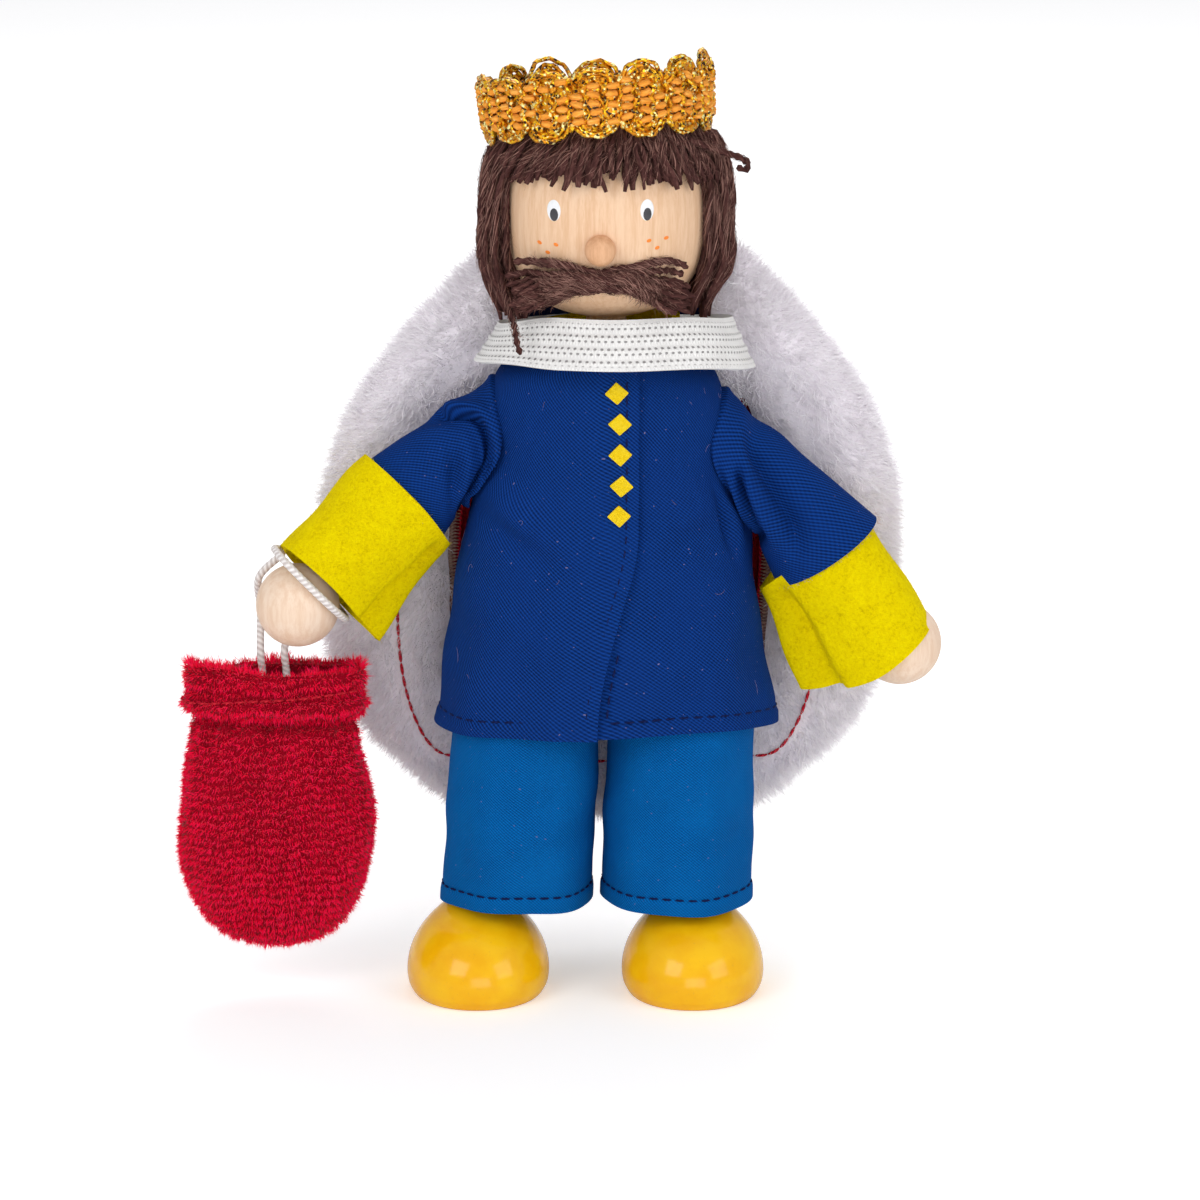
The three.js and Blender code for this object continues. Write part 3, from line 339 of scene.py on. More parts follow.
# Fibres: flat hairs of three triangles, for plush and pile.
def fibres(name, roots, ways, lengths, width, sag, rng, shade=None):
    count = len(roots)
    ways = unit(ways)
    side = unit(np.cross(ways, rng.normal(size=(count, 3))))
    lengths = np.broadcast_to(lengths, (count,))[:, None]
    width = np.broadcast_to(width, (count,))[:, None]
    middle = roots + ways * lengths * 0.55 + sag * lengths * 0.3
    tip = roots + ways * lengths + sag * lengths
    foot, waist = side * width, side * width * 0.8
    edges = [roots - foot, roots + foot, middle + waist, middle - waist, tip]
    base = (np.arange(count) * 5)[:, None]
    shade = rng.random(count) if shade is None else shade
    weave = np.stack([np.repeat(shade, 5), np.tile([0, 0, 0.55, 0.55, 1], count)], axis=1)
    points = np.stack(edges, axis=1).reshape(-1, 3)
    return buildMesh(name, points, base + np.array([[0, 1, 2, 3]]), base + np.array([[3, 2, 4]]), weave)


# Wool: loose fibres that wind along each yarn and leave it at their ends.
def wool(name, runs, radius, perYarn, rng, centre):
    size, steps = 24, 8
    thinned = [path[:: len(path) // 10 if len(path) > 12 else 1] for path in runs]
    yarns = np.stack([throughPoints(path, size) for path in thinned])
    along = unit(np.gradient(yarns, axis=1))
    out = unit(yarns - np.array(centre))
    first = unit(out - along * (out * along).sum(axis=-1, keepdims=True))
    second = np.cross(along, first)
    count = len(runs) * perYarn
    which = np.repeat(np.arange(len(runs)), perYarn)
    span = rng.uniform(0.12, 0.42, count)
    t = rng.uniform(0, 1 - span)[:, None] + span[:, None] * np.linspace(0, 1, steps)
    at = np.clip(t * (size - 1), 0, size - 1.001)
    low = at.astype(int)
    share = (at - low)[..., None]

    def pull(field):
        return field[which[:, None], low] * (1 - share) + field[which[:, None], low + 1] * share

    loose = np.linspace(-1, 1, steps)[None, :] ** 4 * rng.uniform(0, 1.1, (count, 1)) ** 2 * 2.2
    reach = radius * (rng.uniform(0.7, 1.2, (count, 1)) + loose)
    spin = rng.uniform(0, tau, (count, 1)) + t * rng.uniform(8, 20, (count, 1))
    radial = np.cos(spin)[..., None] * pull(first) + np.sin(spin)[..., None] * pull(second)
    line = pull(yarns) + radial * reach[..., None]
    side = unit(np.cross(pull(along), radial))
    fine = 1 - 0.7 * np.linspace(-1, 1, steps)[None, :] ** 2
    wide = (rng.uniform(0.03, 0.07, (count, 1)) * fine)[..., None]
    points = np.stack([line - side * wide, line + side * wide], axis=2)
    base = (np.arange(count) * steps * 2)[:, None, None]
    k = np.arange(steps - 1)[None, :, None] * 2
    quads = (base + k + np.array([[[0, 1, 3, 2]]])).reshape(-1, 4)
    shade = np.repeat(rng.random(count), steps * 2)
    high = np.tile(np.repeat(np.abs(np.linspace(-1, 1, steps)), 2), count)
    return buildMesh(name, points.reshape(-1, 3), quads, (), np.stack([shade, high], axis=1))


def stray(rng, like, amount):  # a random lean for each row of points
    return rng.normal(size=like.shape) * amount


# Random places on a piece, with the way its surface faces there.
def scatter(piece, count, rng):
    mesh = piece.data
    mesh.calc_loop_triangles()
    tri = readAll(mesh.loop_triangles, "vertices", 3, np.int32)
    co = (readPoints(piece) - shift) / mm
    normals = readAll(mesh.vertices, "normal", 3).astype(float)
    a, b, c = co[tri[:, 0]], co[tri[:, 1]], co[tri[:, 2]]
    area = np.linalg.norm(np.cross(b - a, c - a), axis=1)
    chosen = rng.choice(len(tri), size=count, p=area / area.sum())
    r1, r2 = np.sqrt(rng.random(count)), rng.random(count)
    w = np.stack([1 - r1, r1 * (1 - r2), r1 * r2], axis=1)
    places = sum(w[:, k, None] * co[tri[chosen, k]] for k in range(3))
    facing = unit(sum(w[:, k, None] * normals[tri[chosen, k]] for k in range(3)))
    return places, facing


# Sewn stitches: short round dashes along a line.
def stitches(name, line, length, gap, thread, material):
    line = np.asarray(line, float)
    whole = runLength(line)[-1]
    paths = []
    at = gap
    while at + length < whole:
        paths.append(readLine(line, np.linspace(at, at + length, 5)))
        at += length + gap
    made = strands(name, paths, thread, sides=6, lobes=1, lobeDepth=0.0, twist=0, taper=(0.45, 0.45))
    return coat(made, material)


def declareSheet(piece):
    size = np.ptp(readAll(piece.data.uv_layers["weave"].data, "uv", 2), axis=0) * mm


def clothSheet(name, columns, rows, surface, thickness, outside, material, held, restsOn):
    piece = coat(clothGrid(name, columns, rows, surface, thickness, outside), material)
    declareSheet(piece)
    return piece


# Shader maths: a Sock is one output, and arithmetic on it adds Math nodes.


class Sock:
    def __init__(self, paint, socket):
        self.paint = paint
        self.socket = socket

    def maths(self, operation, *others):
        values = {k: v for k, v in enumerate((self, *others))}
        return self.paint.node("ShaderNodeMath", {"operation": operation}, values)

    def __add__(self, other):
        return self.maths("ADD", other)

    __radd__ = __add__

    def __mul__(self, other):
        return self.maths("MULTIPLY", other)

    __rmul__ = __mul__

    def __sub__(self, other):
        return self.maths("SUBTRACT", other)

    def __rsub__(self, other):
        return self.maths("MULTIPLY", -1).maths("ADD", other)

    def sin(self):
        return self.maths("SINE")

    def frac(self):
        return self.maths("FRACT")

    def abs(self):
        return self.maths("ABSOLUTE")

    def step(self, low, high):  # 0 below low, 1 above high, eased between
        values = {0: self, 1: low, 2: high, 3: 0.0, 4: 1.0}
        return self.paint.node("ShaderNodeMapRange", {"interpolation_type": "SMOOTHSTEP"}, values)


def tone(r, g, b):  # a colour as seen on screen, 0 to 255
    def straight(c):
        c /= 255
        return c / 12.92 if c <= 0.04045 else ((c + 0.055) / 1.055) ** 2.4

    return (straight(r), straight(g), straight(b), 1.0)


class Paint:
    def __init__(self, name, **settings):
        self.material = bpy.data.materials.new(name)
        self.material.use_nodes = True
        self.tree = self.material.node_tree
        self.shader = self.tree.nodes["Principled BSDF"]
        for key, value in settings.items():
            self.shader.inputs[key.replace("_", " ")].default_value = value

    def node(self, kind, settings=None, inputs=None, out=0):
        made = self.tree.nodes.new(kind)
        for key, value in (settings or {}).items():
            if key == "stops":
                ramp = made.color_ramp
                while len(ramp.elements) < len(value):
                    ramp.elements.new(0.5)
                for stop, (place, colour) in zip(ramp.elements, value):
                    stop.position = place
                    stop.color = colour
            else:
                setattr(made, key, value)
        for key, value in (inputs or {}).items():
            self.feed(made.inputs[key], value)
        return Sock(self, made.outputs[out])

    def feed(self, socket, value):
        if isinstance(value, Sock):
            self.tree.links.new(value.socket, socket)
        else:
            socket.default_value = value

    def places(self, stretch=(1, 1, 1)):  # the piece's own coordinates, in millimetres
        coords = self.node("ShaderNodeTexCoord", out="Object")
        return self.node("ShaderNodeMapping", None, {"Vector": coords, "Scale": [1000 * s for s in stretch]})

    def weave(self):
        coords = self.node("ShaderNodeUVMap", {"uv_map": "weave"})
        split = self.node("ShaderNodeSeparateXYZ", None, {0: coords})
        return split, Sock(self, split.socket.node.outputs[1])

    def weaveVector(self, sx, sy):
        coords = self.node("ShaderNodeUVMap", {"uv_map": "weave"})
        return self.node("ShaderNodeMapping", None, {"Vector": coords, "Scale": (sx, sy, 1)})

    def noise(self, vector, scale, detail=3.0, rough=0.55):
        values = {"Vector": vector, "Scale": scale, "Detail": detail, "Roughness": rough}
        return self.node("ShaderNodeTexNoise", None, values)

    def blendColour(self, amount, first, second):
        return self.node("ShaderNodeMix", {"data_type": "RGBA"}, {0: amount, 6: first, 7: second}, out=2)

    def ramp(self, value, *stops):
        return self.node("ShaderNodeValToRGB", {"stops": stops}, {0: value})

    def finish(self, colour=None, roughness=None, height=None, depth=0.0001, strength=0.6, metallic=None):
        normal = None
        if height is not None:
            bump = {"Height": height, "Distance": depth, "Strength": strength}
            normal = self.node("ShaderNodeBump", None, bump)
        given = {"Base Color": colour, "Roughness": roughness, "Metallic": metallic, "Normal": normal}
        for key, value in given.items():
            if value is not None:
                self.feed(self.shader.inputs[key], value)
        return self.material


def woodFinish(name, pale, dark, gloss):
    p = Paint(name, Coat_Weight=0.08, Coat_Roughness=0.4, Specular_IOR_Level=0.25)
    grain = p.noise(p.places((1, 1, 0.06)), 1.3, 5, 0.6)
    flecks = p.noise(p.places((1, 1, 0.12)), 7.0, 2, 0.5)
    figure = (grain * 0.75 + flecks * 0.25).step(0.34, 0.68)
    soil = p.noise(p.places(), 0.16, 2).step(0.4, 0.75)
    colour = p.blendColour(figure, pale, dark)
    colour = p.blendColour(soil * 0.25, colour, tone(222, 178, 138))
    return p.finish(colour, gloss + flecks * 0.14, grain * 0.6 + flecks * 0.4, 0.00006, 0.35)


def lacquerFinish(name, bright, deep):
    p = Paint(name, Coat_Weight=0.45, Coat_Roughness=0.14, Specular_IOR_Level=0.1)
    cloud = p.noise(p.places(), 0.22, 3).step(0.3, 0.72)
    speck = p.noise(p.places(), 2.6, 2).step(0.62, 0.76)
    colour = p.blendColour(cloud, bright, deep)
    colour = p.blendColour(speck * 0.18, colour, tone(190, 120, 10))
    ripple = p.noise(p.places(), 0.5, 2)
    return p.finish(colour, 0.2 + speck * 0.15, ripple, 0.00012, 0.12)


def yarnFinish(name, dark, middle, light):
    p = Paint(name, Specular_IOR_Level=0.08)
    fibre = p.noise(p.weaveVector(9.0, 1.1), 1.0, 3, 0.6)
    patch = p.noise(p.places(), 0.55, 2)
    mixed = fibre * 0.7 + patch * 0.3
    colour = p.ramp(mixed, (0.3, dark), (0.52, middle), (0.74, light))
    return p.finish(colour, 0.92 - fibre * 0.1, fibre, 0.0002, 0.8)


def twillFinish(name, deep, body, light, pitch, lint):
    p = Paint(name, Specular_IOR_Level=0.06)
    u, v = p.weave()
    rib = ((u + v) * (tau / pitch)).sin() * 0.5 + 0.5
    pick1 = ((u - v) * (tau / (pitch * 1.25))).sin() * 0.5 + 0.5
    thread = rib * 0.78 + pick1 * 0.22
    slub = p.noise(p.weaveVector(0.9, 0.25), 1.0, 3)
    cloud = p.noise(p.places(), 0.12, 3).step(0.3, 0.75)
    colour = p.blendColour(thread * 0.85 + slub * 0.15, deep, body)
    colour = p.blendColour(cloud * 0.35, colour, light)
    bits = p.noise(p.weaveVector(1, 1), 2.1, 2, 0.4).step(0.735, 0.76)
    colour = p.blendColour(bits * lint, colour, tone(140, 130, 170))
    return p.finish(colour, 0.84 + slub * 0.1, thread * 0.8 + slub * 0.4, 0.00014, 0.85)


def feltFinish(name, bright, body, dark):
    p = Paint(name, Specular_IOR_Level=0.04)
    mat = p.noise(p.places(), 2.6, 5, 0.7)
    lump = p.noise(p.places(), 0.5, 2)
    fleck = p.noise(p.places((1, 1, 1.4)), 4.2, 3, 0.65).step(0.6, 0.68)
    colour = p.ramp(mat * 0.75 + lump * 0.25, (0.3, dark), (0.46, body), (0.62, bright))
    colour = p.blendColour(fleck * 0.3, colour, dark)
    return p.finish(colour, 0.95, mat * 0.8 + lump * 0.5, 0.0005, 1.0)


def hairFinish(name, root, tip, glow):
    p = Paint(name, Sheen_Weight=glow, Sheen_Roughness=0.4, Specular_IOR_Level=0.08)
    shade, high = p.weave()
    patch = p.noise(p.places(), 0.3, 2).step(0.3, 0.7)
    colour = p.blendColour((high * 0.45 + shade * 0.5 + patch * 0.15).step(0.1, 0.95), root, tip)
    return p.finish(colour, 0.9 - high * 0.1)


def metalFinish(name, colour, dark):
    p = Paint(name)
    drawn = p.noise(p.places((3, 3, 0.2)), 2.2, 3)
    return p.finish(p.blendColour(drawn, colour, dark), 0.3 + drawn * 0.2, drawn, 0.00003, 0.3, metallic=1.0)


def threadFinish(name, dark, light):
    p = Paint(name, Specular_IOR_Level=0.12)
    u, v = p.weave()
    ply = ((u * 2 + v * 1.4) * tau).sin() * 0.5 + 0.5
    return p.finish(p.blendColour(ply, dark, light), 0.7 + ply * 0.15, ply, 0.00006, 0.6)


paleWood = woodFinish("pale turned wood", tone(240, 205, 172), tone(224, 182, 144), 0.45)
handWood = woodFinish("hand wood", tone(242, 218, 196), tone(230, 198, 170), 0.45)
noseWood = woodFinish("nose wood", tone(228, 178, 138), tone(206, 150, 108), 0.42)
frameWood = woodFinish("torso wood", tone(222, 186, 142), tone(196, 150, 104), 0.5)
shoePaint = lacquerFinish("yellow lacquer", tone(250, 194, 18), tone(242, 176, 4))
brownYarn = yarnFinish("brown wool", tone(42, 24, 23), tone(84, 52, 49), tone(126, 88, 79))
woolFuzz = hairFinish("brown wool fuzz", tone(56, 32, 30), tone(168, 126, 114), 0.0)
navyTwill = twillFinish("navy twill", tone(0, 10, 44), tone(18, 68, 152), tone(11, 51, 123), 0.48, 0.6)
blueTwill = twillFinish("blue twill", tone(0, 56, 112), tone(2, 110, 190), tone(4, 106, 180), 0.36, 0.3)
yellowFelt = feltFinish("yellow felt", tone(252, 230, 2), tone(242, 216, 0), tone(212, 182, 0))
steelWire = metalFinish("drawn wire", (0.6, 0.6, 0.6, 1), (0.4, 0.4, 0.42, 1))
limbWrap = feltFinish("wound cotton", tone(228, 222, 210), tone(212, 204, 190), tone(176, 166, 150))
navyWrap = feltFinish("wound navy cotton", tone(16, 50, 118), tone(10, 40, 100), tone(4, 22, 66))
blueWrap = feltFinish("wound blue cotton", tone(4, 96, 168), tone(2, 84, 150), tone(0, 60, 116))
navyThread = threadFinish("navy thread", tone(6, 14, 48), tone(18, 34, 92))
redThread = threadFinish("red thread", tone(150, 8, 24), tone(222, 44, 62))
beigeThread = threadFinish("beige thread", tone(190, 142, 124), tone(234, 202, 184))
lintThread = threadFinish("lint", tone(84, 84, 146), tone(160, 146, 184))
whiteCord = threadFinish("white cord", tone(206, 196, 192), tone(246, 242, 240))
print("materials ready")

# Camera, lamps and floor

def pointAt(thing, target):
    thing.rotation_euler = (target - thing.location).to_track_quat("-Z", "Y").to_euler()


cameraPlan = {"middle": -0.75, "back": 759.0, "height": 254.0, "aim": 50.0, "lens": 188.6, "sensor": 36}
bpy.ops.object.camera_add(location=spot(cameraPlan["middle"], -cameraPlan["back"], cameraPlan["height"]))
camera = bpy.context.object
pointAt(camera, spot(cameraPlan["middle"], 0, cameraPlan["aim"]))
camera.data.lens = cameraPlan["lens"]
camera.data.sensor_width = cameraPlan["sensor"]
camera.data.clip_start = 0.01
camera.data.clip_end = 50
bpy.context.scene.camera = camera
bpy.context.scene.view_settings.view_transform = "Standard"

lampPlan = [  # place in mm, width in mm, watts
    ((-420, -560, 490), 420, 2.0),
    ((520, -440, 380), 420, 1.3),
    ((60, -700, 60), 380, 1.2),
    ((60, 480, 520), 380, 1.5),
]
lampAim = 55
for stand, width, watts in lampPlan:
    bpy.ops.object.light_add(type="AREA", location=spot(*stand))
    lamp = bpy.context.object
    lamp.data.size = width * mm
    lamp.data.energy = watts
    pointAt(lamp, spot(0, 0, lampAim))

skyPlan = {"lit": (0.53, 0.53, 0.54, 1), "seen": (1, 1, 1, 1)}
world = bpy.data.worlds.new("studio")
bpy.context.scene.world = world
world.use_nodes = True
worldTree = world.node_tree
sky = worldTree.nodes["Background"]
sky.inputs["Strength"].default_value = 1.0
seen = worldTree.nodes.new("ShaderNodeLightPath")
skyTone = worldTree.nodes.new("ShaderNodeMix")
skyTone.data_type = "RGBA"
skyTone.inputs[6].default_value = skyPlan["lit"]
skyTone.inputs[7].default_value = skyPlan["seen"]
worldTree.links.new(seen.outputs["Is Camera Ray"], skyTone.inputs[0])
worldTree.links.new(skyTone.outputs[2], sky.inputs["Color"])

floorPlan = {
    "size": 6, "pale": (0.955, 0.955, 0.955, 1), "dull": (0.935, 0.935, 0.935, 1),
    "dark": (0, 0, 0, 1), "glow": (0.3, 0.3, 0.3, 1),
}
bpy.ops.object.select_all(action="DESELECT")
bpy.ops.mesh.primitive_plane_add(size=floorPlan["size"], location=(0, 0, 0))
floor = rename(bpy.context.object, "floor")
floorPaint = Paint("pale floor", Specular_IOR_Level=0.1, Emission_Strength=1.0)
floorTone = floorPaint.noise(floorPaint.places(), 0.004, 2)
floorSeen = floorPaint.node("ShaderNodeLightPath", out="Is Camera Ray")
floorGlow = floorPaint.blendColour(floorSeen, floorPlan["dark"], floorPlan["glow"])
floorPaint.feed(floorPaint.shader.inputs["Emission Color"], floorGlow)
coat(floor, floorPaint.finish(floorPaint.blendColour(floorTone, floorPlan["pale"], floorPlan["dull"]), 0.85))
print("camera and lamps ready")

# Drawstring: out of the bag's mouth, up behind the hand, once round the wrist and back down

cordPlan = {
    "radius": 0.5,
    "route": [
        (-42.803, -0.704, 37.424), (-43.055, -0.704, 41.015), (-43.236, -0.704, 43.609),
        (-43.329, 1.996, 48.339), (-43.329, 0.196, 52.939), (-40.409, -0.298, 56.101),
        (-41.124, -3.906, 57.611), (-39.474, -7.672, 56.756), (-36.931, -8.835, 54.429),
        (-34.482, -8.868, 51.952), (-32.769, -6.773, 49.758), (-32.517, -3.44, 48.778),
        (-33.834, -0.281, 49.427), (-35.866, 1.771, 51.043), (-37.329, 2.896, 49.139),
        (-39.529, 2.496, 45.939), (-40.243, -0.704, 43.818), (-40.062, -0.704, 41.225),
        (-39.811, -0.704, 37.633),
    ],
    "steps": 170, "wristBend": (-40, -1, 49.6), "bagBend": (-40, -1, 44.4),
}
cordLine = throughPoints(cordPlan["route"], cordPlan["steps"])
drawstring = strands("drawstring", [cordLine], cordPlan["radius"], 12, 3, 0.06, 2.4, (0.95, 0.95))
coat(drawstring, whiteCord)
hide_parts("pouch_cord")
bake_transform(drawstring)

# Head, nose and painted face

headPlan = {"radius": 12.6, "halfHeight": 13.0, "centre": 99.8, "square": 2.5}
nosePlan = {"x": -0.7, "z": 97.3, "radius": 1.9, "halfDepth": 1.95, "proud": 0.65, "blunt": 0.85}
paintPlan = {  # sizes are half width, half height and how far the paint stands proud
    "eyes": [(-6.35, 101.8), (4.95, 102.0)], "white": (0.82, 1.3, 0.07),
    "pupil": (0.56, 0.88, 0.11), "pupilDrop": 0.42, "pupilAside": (0.02, 0.04), "freckle": (0.3, 0.22, 0.05),
    "freckles": [  # x, z and lean
        (-8.1, 97.6, -0.5), (-6.1, 97.6, -0.4), (-7.1, 96.5, -0.2),
        (5.2, 98.2, 0.3), (7.3, 98.3, 0.2), (6.2, 97.2, 0.4),
    ],
}


def ball(name, segments, rings):
    bpy.ops.object.select_all(action="DESELECT")
    bpy.ops.mesh.primitive_uv_sphere_add(segments=segments, ring_count=rings, radius=1)
    return rename(bpy.context.object, name)


def ballAngles(points):  # the turn round the upright axis, and the rise above the middle
    return np.arctan2(points[:, 1], points[:, 0]), np.arcsin(np.clip(points[:, 2], -1, 1))


def headPoint(turn, rise, lift):
    across = (headPlan["radius"] + lift) * power(np.cos(rise), 2 / headPlan["square"])
    z = headPlan["centre"] + (headPlan["halfHeight"] + lift) * power(np.sin(rise), 2 / headPlan["square"])
    return xyz(across * np.cos(turn), across * np.sin(turn), z)


def faceDepth(x, z):
    share = np.clip(np.abs(z - headPlan["centre"]) / headPlan["halfHeight"], 0, 0.999)
    across = headPlan["radius"] * (1 - share ** headPlan["square"]) ** (1 / headPlan["square"])
    return -np.sqrt(np.maximum(across**2 - x**2, 0.0))


def settle(piece, body, slot, *stands):
    if stands:
        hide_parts(*stands)
    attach(piece, body)
    return piece


def place(piece, points, material, body, slot, *stands):
    writePoints(piece, toFrame(points))
    piece.data.materials.clear()
    smooth(coat(piece, material), softAngle)
    return settle(piece, body, slot, *stands)


def dot(name, x, z, size, material, lean=0.0):
    halfWidth, halfHeight, proud = size
    made = ball(name, 28, 14)
    q = readPoints(made)
    aside, above = swing(q[:, 0] * halfWidth, q[:, 2] * halfHeight, lean)
    x, z = x + aside, z + above
    writePoints(made, toFrame(xyz(x, faceDepth(x, z) + q[:, 1] * proud, z)))
    return settle(smooth(coat(made, material)), "head", "natural_wood")


def glossPaint(name, colour, other):
    paint = Paint(name, Coat_Weight=0.4, Coat_Roughness=0.15)
    brush = paint.noise(paint.places(), 2.4, 2)
    return paint.finish(paint.blendColour(brush, colour, other), 0.35 + brush * 0.1, brush, 0.00002, 0.3)


headBall = ball("head_ball", 96, 64)
headSkin = headPoint(*ballAngles(readPoints(headBall)), 0.0)
place(headBall, headSkin, paleWood, "head", "natural_wood", "head")

noseBead = ball("nose_bead", 40, 28)
noseX, noseZ = nosePlan["x"], nosePlan["z"]
p = readPoints(noseBead)
noseSkin = xyz(
    noseX + p[:, 0] * nosePlan["radius"],
    faceDepth(noseX, noseZ) - nosePlan["proud"] + power(p[:, 1], nosePlan["blunt"]) * nosePlan["halfDepth"],
    noseZ + p[:, 2] * nosePlan["radius"],
)
place(noseBead, noseSkin, noseWood, "head", "natural_wood", "nose")

eyeWhite = glossPaint("eye white", tone(250, 250, 250), tone(228, 230, 236))
eyeBlack = glossPaint("eye black", tone(34, 34, 38), tone(62, 62, 68))
freckleOrange = glossPaint("freckle orange", tone(250, 140, 20), tone(236, 118, 10))
for side, (x, z), aside in zip(bodySides, paintPlan["eyes"], paintPlan["pupilAside"]):
    dot("eye_white_" + side, x, z, paintPlan["white"], eyeWhite)
    dot("eye_pupil_" + side, x + aside, z - paintPlan["pupilDrop"], paintPlan["pupil"], eyeBlack)
for k, (x, z, lean) in enumerate(paintPlan["freckles"]):
    dot(f"freckle_{k + 1}", x, z, paintPlan["freckle"], freckleOrange, lean)
print("head ready")

# Hands, feet and the hidden frame

armPlan = {
    "right": {
        "sign": -1, "shoulder": (-12.6, 0, 73.5), "upper": (-0.77, -0.1, -0.63), "fore": (-0.7, -0.15, -0.69),
        "cuffEnd": 4.0, "lap": 2.6, "fin": 4.2, "finStart": 0.1, "point": 0.3, "sink": -0.2, "slant": 0.5,
        "over": -0.4, "bow": -0.9,
    },
    "left": {
        "sign": 1, "shoulder": (14.4, 0, 72), "upper": (0.65, -0.09, -0.755), "fore": (0.624, -0.1, -0.775),
        "cuffEnd": -0.2, "lap": -0.8, "fin": 5.0, "finStart": 0.55, "point": -3.0, "sink": 1.8, "slant": 0.9,
        "over": 0.3, "bow": 1.1,
    },
}
armSizes = {"upper": 18.6, "fore": 16.2, "hand": 5.2, "sanded": 0.9, "sandedShare": 0.75}


def armFrame(way):
    rise = unit(np.array([0, 0, 1.0]) - way * way[2])
    front = unit(np.cross(rise, way))
    return rise, front if front[1] < 0 else -front


for side, arm in armPlan.items():
    arm["upper"] = unit(arm["upper"])
    arm["fore"] = unit(arm["fore"])
    arm["shoulder"] = np.array(arm["shoulder"], float)
    arm["elbow"] = arm["shoulder"] + arm["upper"] * armSizes["upper"]
    arm["hand"] = arm["elbow"] + arm["fore"] * armSizes["fore"]
    hand = ball("hand_ball_" + side, 64, 40)
    p = readPoints(hand)
    past = np.minimum(p @ arm["fore"] + armSizes["sanded"], 0)  # sanded flat round the drilled wrist
    p = p - (past * armSizes["sandedShare"])[:, None] * arm["fore"]
    handSkin = arm["hand"] + p * armSizes["hand"]
    place(hand, handSkin, handWood, "forearm_" + side, "natural_wood", "hand_" + side)

footPlan = {
    "halfWidth": 8.95, "halfLength": 10.5, "middle": -2.8, "height": 10.9,
    "rows": [  # height, size and how far the middle has moved back to the ankle
        (0, 0.911, 0), (0.12, 0.985, 0), (0.3, 1, 0), (0.5, 0.95, 0.06), (0.68, 0.84, 0.16),
        (0.82, 0.7, 0.32), (0.92, 0.56, 0.55), (0.98, 0.46, 0.78),
    ],
    "ankle": 3.3, "ankleFoot": 11.7, "ankleTop": 14.0, "stance": {"right": -16.15, "left": 10.95},
}


def footCurve(values, ankle):
    highs = [row[0] * footPlan["height"] for row in footPlan["rows"]]
    highs += [footPlan["ankleFoot"], footPlan["ankleTop"]]
    return curveThrough(list(zip(highs, values + [ankle, ankle])))


footWide = footCurve([row[1] * footPlan["halfWidth"] for row in footPlan["rows"]], footPlan["ankle"])
footLong = footCurve([row[1] * footPlan["halfLength"] for row in footPlan["rows"]], footPlan["ankle"])
footMiddle = footCurve([footPlan["middle"] * (1 - row[2]) for row in footPlan["rows"]], 0)


def footSurface(ankleX):
    def surface(u, v):
        z = np.interp(v, [0, 0.08, 0.1, 0.86, 1], [0, 0, 0.12, 11.4, footPlan["ankleTop"]])
        share = np.interp(v, [0, 0.08, 0.1, 1], [0, 0.985, 1, 1])
        x = ankleX + footWide(z) * share * power(np.cos(u * tau), 0.94)
        y = footMiddle(z) + footLong(z) * share * np.sin(u * tau)
        return xyz(x, y, z), (u * 60, v * 25)

    return surface


for side, ankleX in footPlan["stance"].items():
    shoe = clothGrid("shoe_" + side, 96, 64, footSurface(ankleX), outside=(ankleX, footPlan["middle"], 4))
    settle(coat(shoe, shoePaint), "shin_" + side, "painted_wood", "foot_" + side)

frameFinishes = {  # the frame inside keeps its solids, with these finishes and steel for its wires
    "torso_block": frameWood, "neck_dowel": frameWood, "upper_arm": navyWrap, "thigh": blueWrap,
    "forearm": limbWrap, "shin": limbWrap,
}
for name, node in nodes.items():
    finishes = [finish for start, finish in frameFinishes.items() if name.startswith(start)]
    if "wire" in name:
        finishes = [steelWire]
    if finishes:
        node.data.materials.clear()
        coat(node, finishes[0])
print("hands, feet and frame ready")

# Jacket

jacketPlan = {
    "hem": 35.0, "neck": 82.3, "square": 2.4, "cloth": 0.7,
    "widths": [
        (35, 21.1), (52, 18.7), (60, 17.7), (70, 14.9), (76, 14.6), (78.9, 13.7), (80.8, 12.1), (82.3, 9.4),
    ],
    "depths": [(35, 11.2), (52, 10.2), (70, 9.8), (78.9, 9.3), (82.3, 9)],
    "placketTop": 3.9, "placketHem": -1.0, "placketBreak": 62.0, "lap": 3.0, "lapLift": 0.5,
    "slants": [  # amount, height, slope and pivot of the fold, its breadth, then its middle and reach across
        (0.9, 66, -9, -0.9, 2.0, -0.62, 0.3), (-0.85, 62.3, -9, -0.9, 1.7, -0.62, 0.3),
    ],
    "softSlants": [(0.5, 62.5, 7, 0.45, 1.6, 0.5, 0.22), (-0.4, 58.8, 7, 0.45, 1.6, 0.5, 0.22)],
    "pleats": [(-1.1, 0, 0.55, 3.2), (0.6, 1.1, 0.6, 3.6)],  # amount, shift, breadth and length
    "bendAside": 8, "bendStart": (0, 45.2), "bendEnd": (-10.2, 34.2),
}
jacketWidth = curveThrough(jacketPlan["widths"])
jacketDepth = curveThrough(jacketPlan["depths"])


def placket(z):
    share = np.clip((z - jacketPlan["hem"]) / (jacketPlan["placketBreak"] - jacketPlan["hem"]), 0, 1)
    return mix(jacketPlan["placketHem"], jacketPlan["placketTop"], ease(share * 0.85 + 0.15 * share**2))


def frontAngle(x, z):
    share = np.clip(np.abs(x) / jacketWidth(z), 0, 0.999)
    turn = np.arccos(share ** (jacketPlan["square"] / 2))
    return np.where(x < 0, math.pi + turn, tau - turn)


def slantFolds(rows, x, z):
    return sum(
        amount * hump(z - (height + slope * (x - pivot)), breadth) * hump(x - middle, reach)
        for amount, height, slope, pivot, breadth, middle, reach in rows
    )


